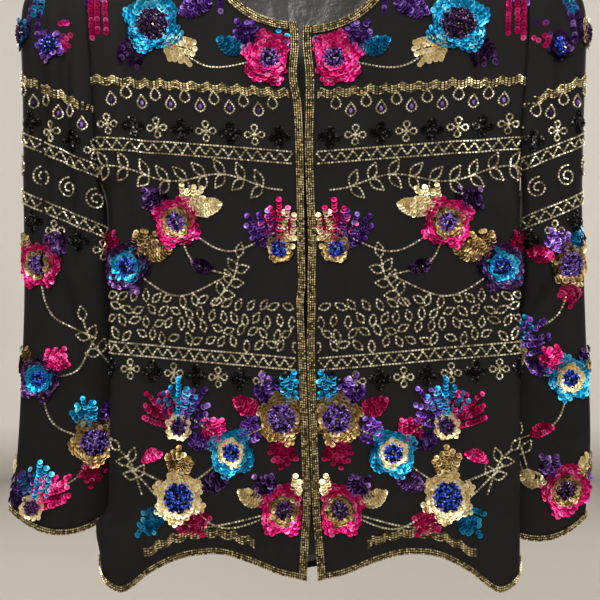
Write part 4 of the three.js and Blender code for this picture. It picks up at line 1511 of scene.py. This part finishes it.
def sleeve_work(front, back):
    work = Work()
    work.add(front)
    work.add(back.reflected(0))
    zigzag_band(work, SLEEVE_UPPER_BAND, start=-SLEEVE_REACH, end=SLEEVE_REACH)
    zigzag_band(work, SLEEVE_LOWER_BAND, start=-SLEEVE_REACH, end=SLEEVE_REACH)
    scallop_band(work, SLEEVE_SCALLOPS, -SLEEVE_REACH, SLEEVE_REACH)
    return work


# ---- the beaded edgings ----------------------------------------------------------------
def row_middles(width, rows):
    return width * (np.arange(rows) + 0.5) / rows


EDGE_ROWS, HEM_ROWS = 4, 3
EDGE_STEPS = 400


def front_edge_lines(side):
    for along in row_middles(FRONT_EDGING, EDGE_ROWS):
        top = top_drop(along, FRONT_NECK_DROP[side]) + 1
        drops = np.linspace(top, hem_drop(along) - 1, EDGE_STEPS)
        yield np.stack([np.full(EDGE_STEPS, along), drops], -1)


def neck_lines(depth, start):
    """Lines round the neck from this angle of its curve to the shoulder."""
    angles = np.linspace(start, math.pi / 2, EDGE_STEPS)
    across, down = NECK_HALF_WIDTH * np.sin(angles), depth * np.cos(angles)
    out = np.stack([depth * np.sin(angles), NECK_HALF_WIDTH * np.cos(angles)], -1)
    out /= np.linalg.norm(out, axis=1, keepdims=True)
    for inset in row_middles(NECK_EDGING, EDGE_ROWS):
        along = across + inset * out[:, 0]
        drop = np.maximum(down + inset * out[:, 1], shoulder_drop(along) + 1.2)
        yield np.stack([along, drop], -1)


def hem_lines(start, end):
    along = np.linspace(start, end, EDGE_STEPS)
    for inset in row_middles(HEM_EDGING, HEM_ROWS):
        yield np.stack([along, hem_drop(along) - inset], -1)


def cuff_lines():
    around = np.linspace(0, 2 * math.pi * CUFF_RADIUS, EDGE_STEPS)
    for down in row_middles(HEM_EDGING, HEM_ROWS):
        yield np.stack([around, np.full(EDGE_STEPS, down)], -1)


def turned_to_back(lines):
    for line in lines:
        yield np.stack([HALF_GIRTH - line[:, 0], line[:, 1]], -1)


# ---- making the jacket -----------------------------------------------------------------
SIDES = ((LEFT, "left"), (RIGHT, "right"))
cloth, satin = crepe(), lining_satin()


def cloth_area(grid):
    across, down = np.diff(grid, axis=1)[:-1], np.diff(grid, axis=0)[:, :-1]
    return float(np.linalg.norm(np.cross(across, down), axis=-1).sum()) * MM * MM


def cloth_piece(name, grid, hand, node, closed=False, facing=0):
    """A panel of the crepe that stands for its solid, which it hides."""
    piece = shell(name, grid, hand, cloth, closed=closed, facing=facing)
    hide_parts(node)
    whole = np.concatenate([grid, grid[:, :1]], 1) if closed else grid
    cloth_area(whole)


for side, name in SIDES:
    cloth_piece("cloth_front_" + name, front_grid(side), side, "front_" + name,
                facing=-1)
    cloth_piece("cloth_sleeve_" + name, sleeve_grid(side), -side, "sleeve_" + name,
                closed=True)
cloth_piece("cloth_back", back_grid(), 1, "back", facing=1)


def crumple(points):
    """Shallow, uneven creases over the lining, from 0 to 1."""
    x, z = points[..., 0], points[..., 2]
    warp = 9 * np.sin(x / 23 + z / 31) + 7 * np.sin(z / 17 - x / 37)
    upright = np.abs(np.sin((x + warp) / 13))
    slanting = np.abs(np.sin((0.8 * z + 0.5 * x + 1.6 * warp) / 17))
    return 1 - 0.6 * upright - 0.4 * slanting


LINING_OUTSIDE, LINING, CRUMPLE = -1.9, 1.1, 2.6
grid = back_grid()[FINER:-FINER, 2 * FINER:-2 * FINER]
away = LINING_OUTSIDE - CRUMPLE * crumple(grid)[..., None]
lining = shell("crumpled_lining", grid, 1, satin, thick=LINING, lift=away)
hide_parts("back_lining")
cloth_area(grid)

KINDS = (
    ("barrels", BARRELS, BUGLE, "gold_beads"),
    ("stones", STONES, BEAD, "gold_beads"),
    ("sequins", SEQUINS, CUP, "sequins"),
)
front_and_back = body_work()
first, second = sleeve_face(1), sleeve_face(4)
sleeves = {LEFT: sleeve_work(first, second), RIGHT: sleeve_work(second, first)}
for side, name in SIDES:
    body, sleeve = body_panel(side), sleeve_panel(side)
    for kind, finishes, template, slot in KINDS:
        sew_on(f"{kind}_body_{name}", [(body, front_and_back)], finishes, template, slot)
        sew_on(f"{kind}_sleeve_{name}", [(sleeve, sleeves[side])], finishes, template, slot)


def edging(node, *parts):
    """Rows of barrel beads that stand for one of the solid edgings."""
    sewn = [(panel, edge_rows(panel, *lines)) for panel, lines in parts]
    piece = sew_on("beads_" + node, sewn, ("old_gold",), BUGLE, "gold_beads")
    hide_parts(node)


beside_front = FRONT_EDGING + 1.5
neck_start = math.asin(beside_front / NECK_HALF_WIDTH)
for side, name in SIDES:
    panel = edge_panel(side)
    edging("front_edging_" + name, (panel, front_edge_lines(side)))
    edging("neck_edging_" + name, (panel, neck_lines(FRONT_NECK_DROP[side], neck_start)))
    edging("hem_edging_" + name, (panel, hem_lines(beside_front, SIDE_SEAM)))
    edging("cuff_edging_" + name, (cuff_panel(side), cuff_lines()))
halves = [edge_panel(side) for side, _ in SIDES]
edging("neck_edging_back",
       *((panel, turned_to_back(neck_lines(BACK_NECK_DROP, 0))) for panel in halves))
edging("hem_edging_back",
       *((panel, turned_to_back(hem_lines(0, SIDE_SEAM))) for panel in halves))

for node, made in (("hanger_bar", varnished_wood()), ("hanger_hook", plated_wire())):
    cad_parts[node].material_slots[0].material = made


# ---- studio ----------------------------------------------------------------------------
FLOOR_HEIGHT, ROOM_HEIGHT, ROOM_RADIUS = -1.3, 4.2, 3.6


def backdrop_paint():
    """Pale paint on the wall with soft upright streaks of painted shadow, over a darker floor; painted
    shade darkens the wall's lowest quarter metre toward the floor.
    """
    made = Finish("backdrop_paint", Specular_IOR_Level=0.2)
    shadow_streak = made.noise(0.35, 2, (1, 1, 0.08))
    height = made.node("SeparateXYZ", sockets={"Vector": made.place()}, output=2)
    # Painted shadow: soft upright streaks darken the wall.
    wall = made.mixed(shadow_streak, rgb(0.62, 0.595, 0.56), rgb(0.78, 0.755, 0.72))
    # Painted shade: the wall darkens over its lowest 0.25 m toward the floor's grey.
    made.set(Base_Color=made.mixed((height - FLOOR_HEIGHT) * 4, rgb(0.34, 0.318, 0.29), wall),
             Roughness=0.7 + 0.1 * shadow_streak)
    return made.material


def room():
    """A round pale room, open at the top, so every side of the jacket has a backdrop."""
    deselect()
    bpy.ops.mesh.primitive_cylinder_add(
        vertices=96, radius=ROOM_RADIUS, depth=ROOM_HEIGHT,
        location=(0, 0, FLOOR_HEIGHT + ROOM_HEIGHT / 2))
    made = bpy.context.object
    made.name = "room"
    bpy.ops.object.transform_apply(location=True, rotation=False, scale=False)
    bpy.ops.object.mode_set(mode="EDIT")
    bpy.ops.mesh.select_all(action="DESELECT")
    bpy.ops.object.mode_set(mode="OBJECT")
    for face in made.data.polygons:
        face.select = face.normal.z > 0.9
    bpy.ops.object.mode_set(mode="EDIT")
    bpy.ops.mesh.delete(type="ONLY_FACE")
    bpy.ops.mesh.select_all(action="SELECT")
    bpy.ops.mesh.normals_make_consistent(inside=True)
    bpy.ops.object.mode_set(mode="OBJECT")
    bpy.ops.object.shade_smooth_by_angle(angle=math.radians(40))
    made.data.materials.append(backdrop_paint())


def softbox(name, place, aim, size, power):
    deselect()
    bpy.ops.object.light_add(type="AREA", location=place)
    lamp = bpy.context.object
    lamp.name = name
    lamp.data.shape = "RECTANGLE"
    lamp.data.size, lamp.data.size_y = size
    lamp.data.energy = power
    lamp.data.color = (1, 0.97, 0.93)
    toward_aim = np.array(aim) - np.array(place)
    lamp.rotation_euler = (
        math.atan2(math.hypot(*toward_aim[:2]), -toward_aim[2]), 0,
        math.atan2(toward_aim[1], toward_aim[0]) - math.pi / 2)


room()
middle = (0, 0, -0.45)
softbox("key", (-1.1, -2.4, 1.2), middle, (1.6, 1.2), 60)
softbox("fill", (1.9, -2.0, 0.1), middle, (1.4, 1.8), 28)
softbox("overhead", (0.1, -0.4, 2.2), middle, (2.4, 2.0), 50)
softbox("back_left", (-1.6, 2.4, 0.8), middle, (1.6, 1.4), 45)
softbox("back_right", (1.8, 2.2, 0.5), middle, (1.4, 1.6), 30)

world = bpy.context.scene.world or bpy.data.worlds.new("studio")
bpy.context.scene.world = world
world.use_nodes = True
world.node_tree.nodes["Background"].inputs["Color"].default_value = rgb(1, 0.98, 0.95)
world.node_tree.nodes["Background"].inputs["Strength"].default_value = 0.5

bpy.context.scene.view_settings.view_transform = "Standard"

CAMERA_PLACE, LENS, SENSOR = (-0.0055, -1.127, -0.492), 60, 36
deselect()
bpy.ops.object.camera_add(location=CAMERA_PLACE, rotation=(math.pi / 2, 0, 0))
camera = bpy.context.object
camera.data.lens = LENS
camera.data.sensor_width = SENSOR
bpy.context.scene.camera = camera
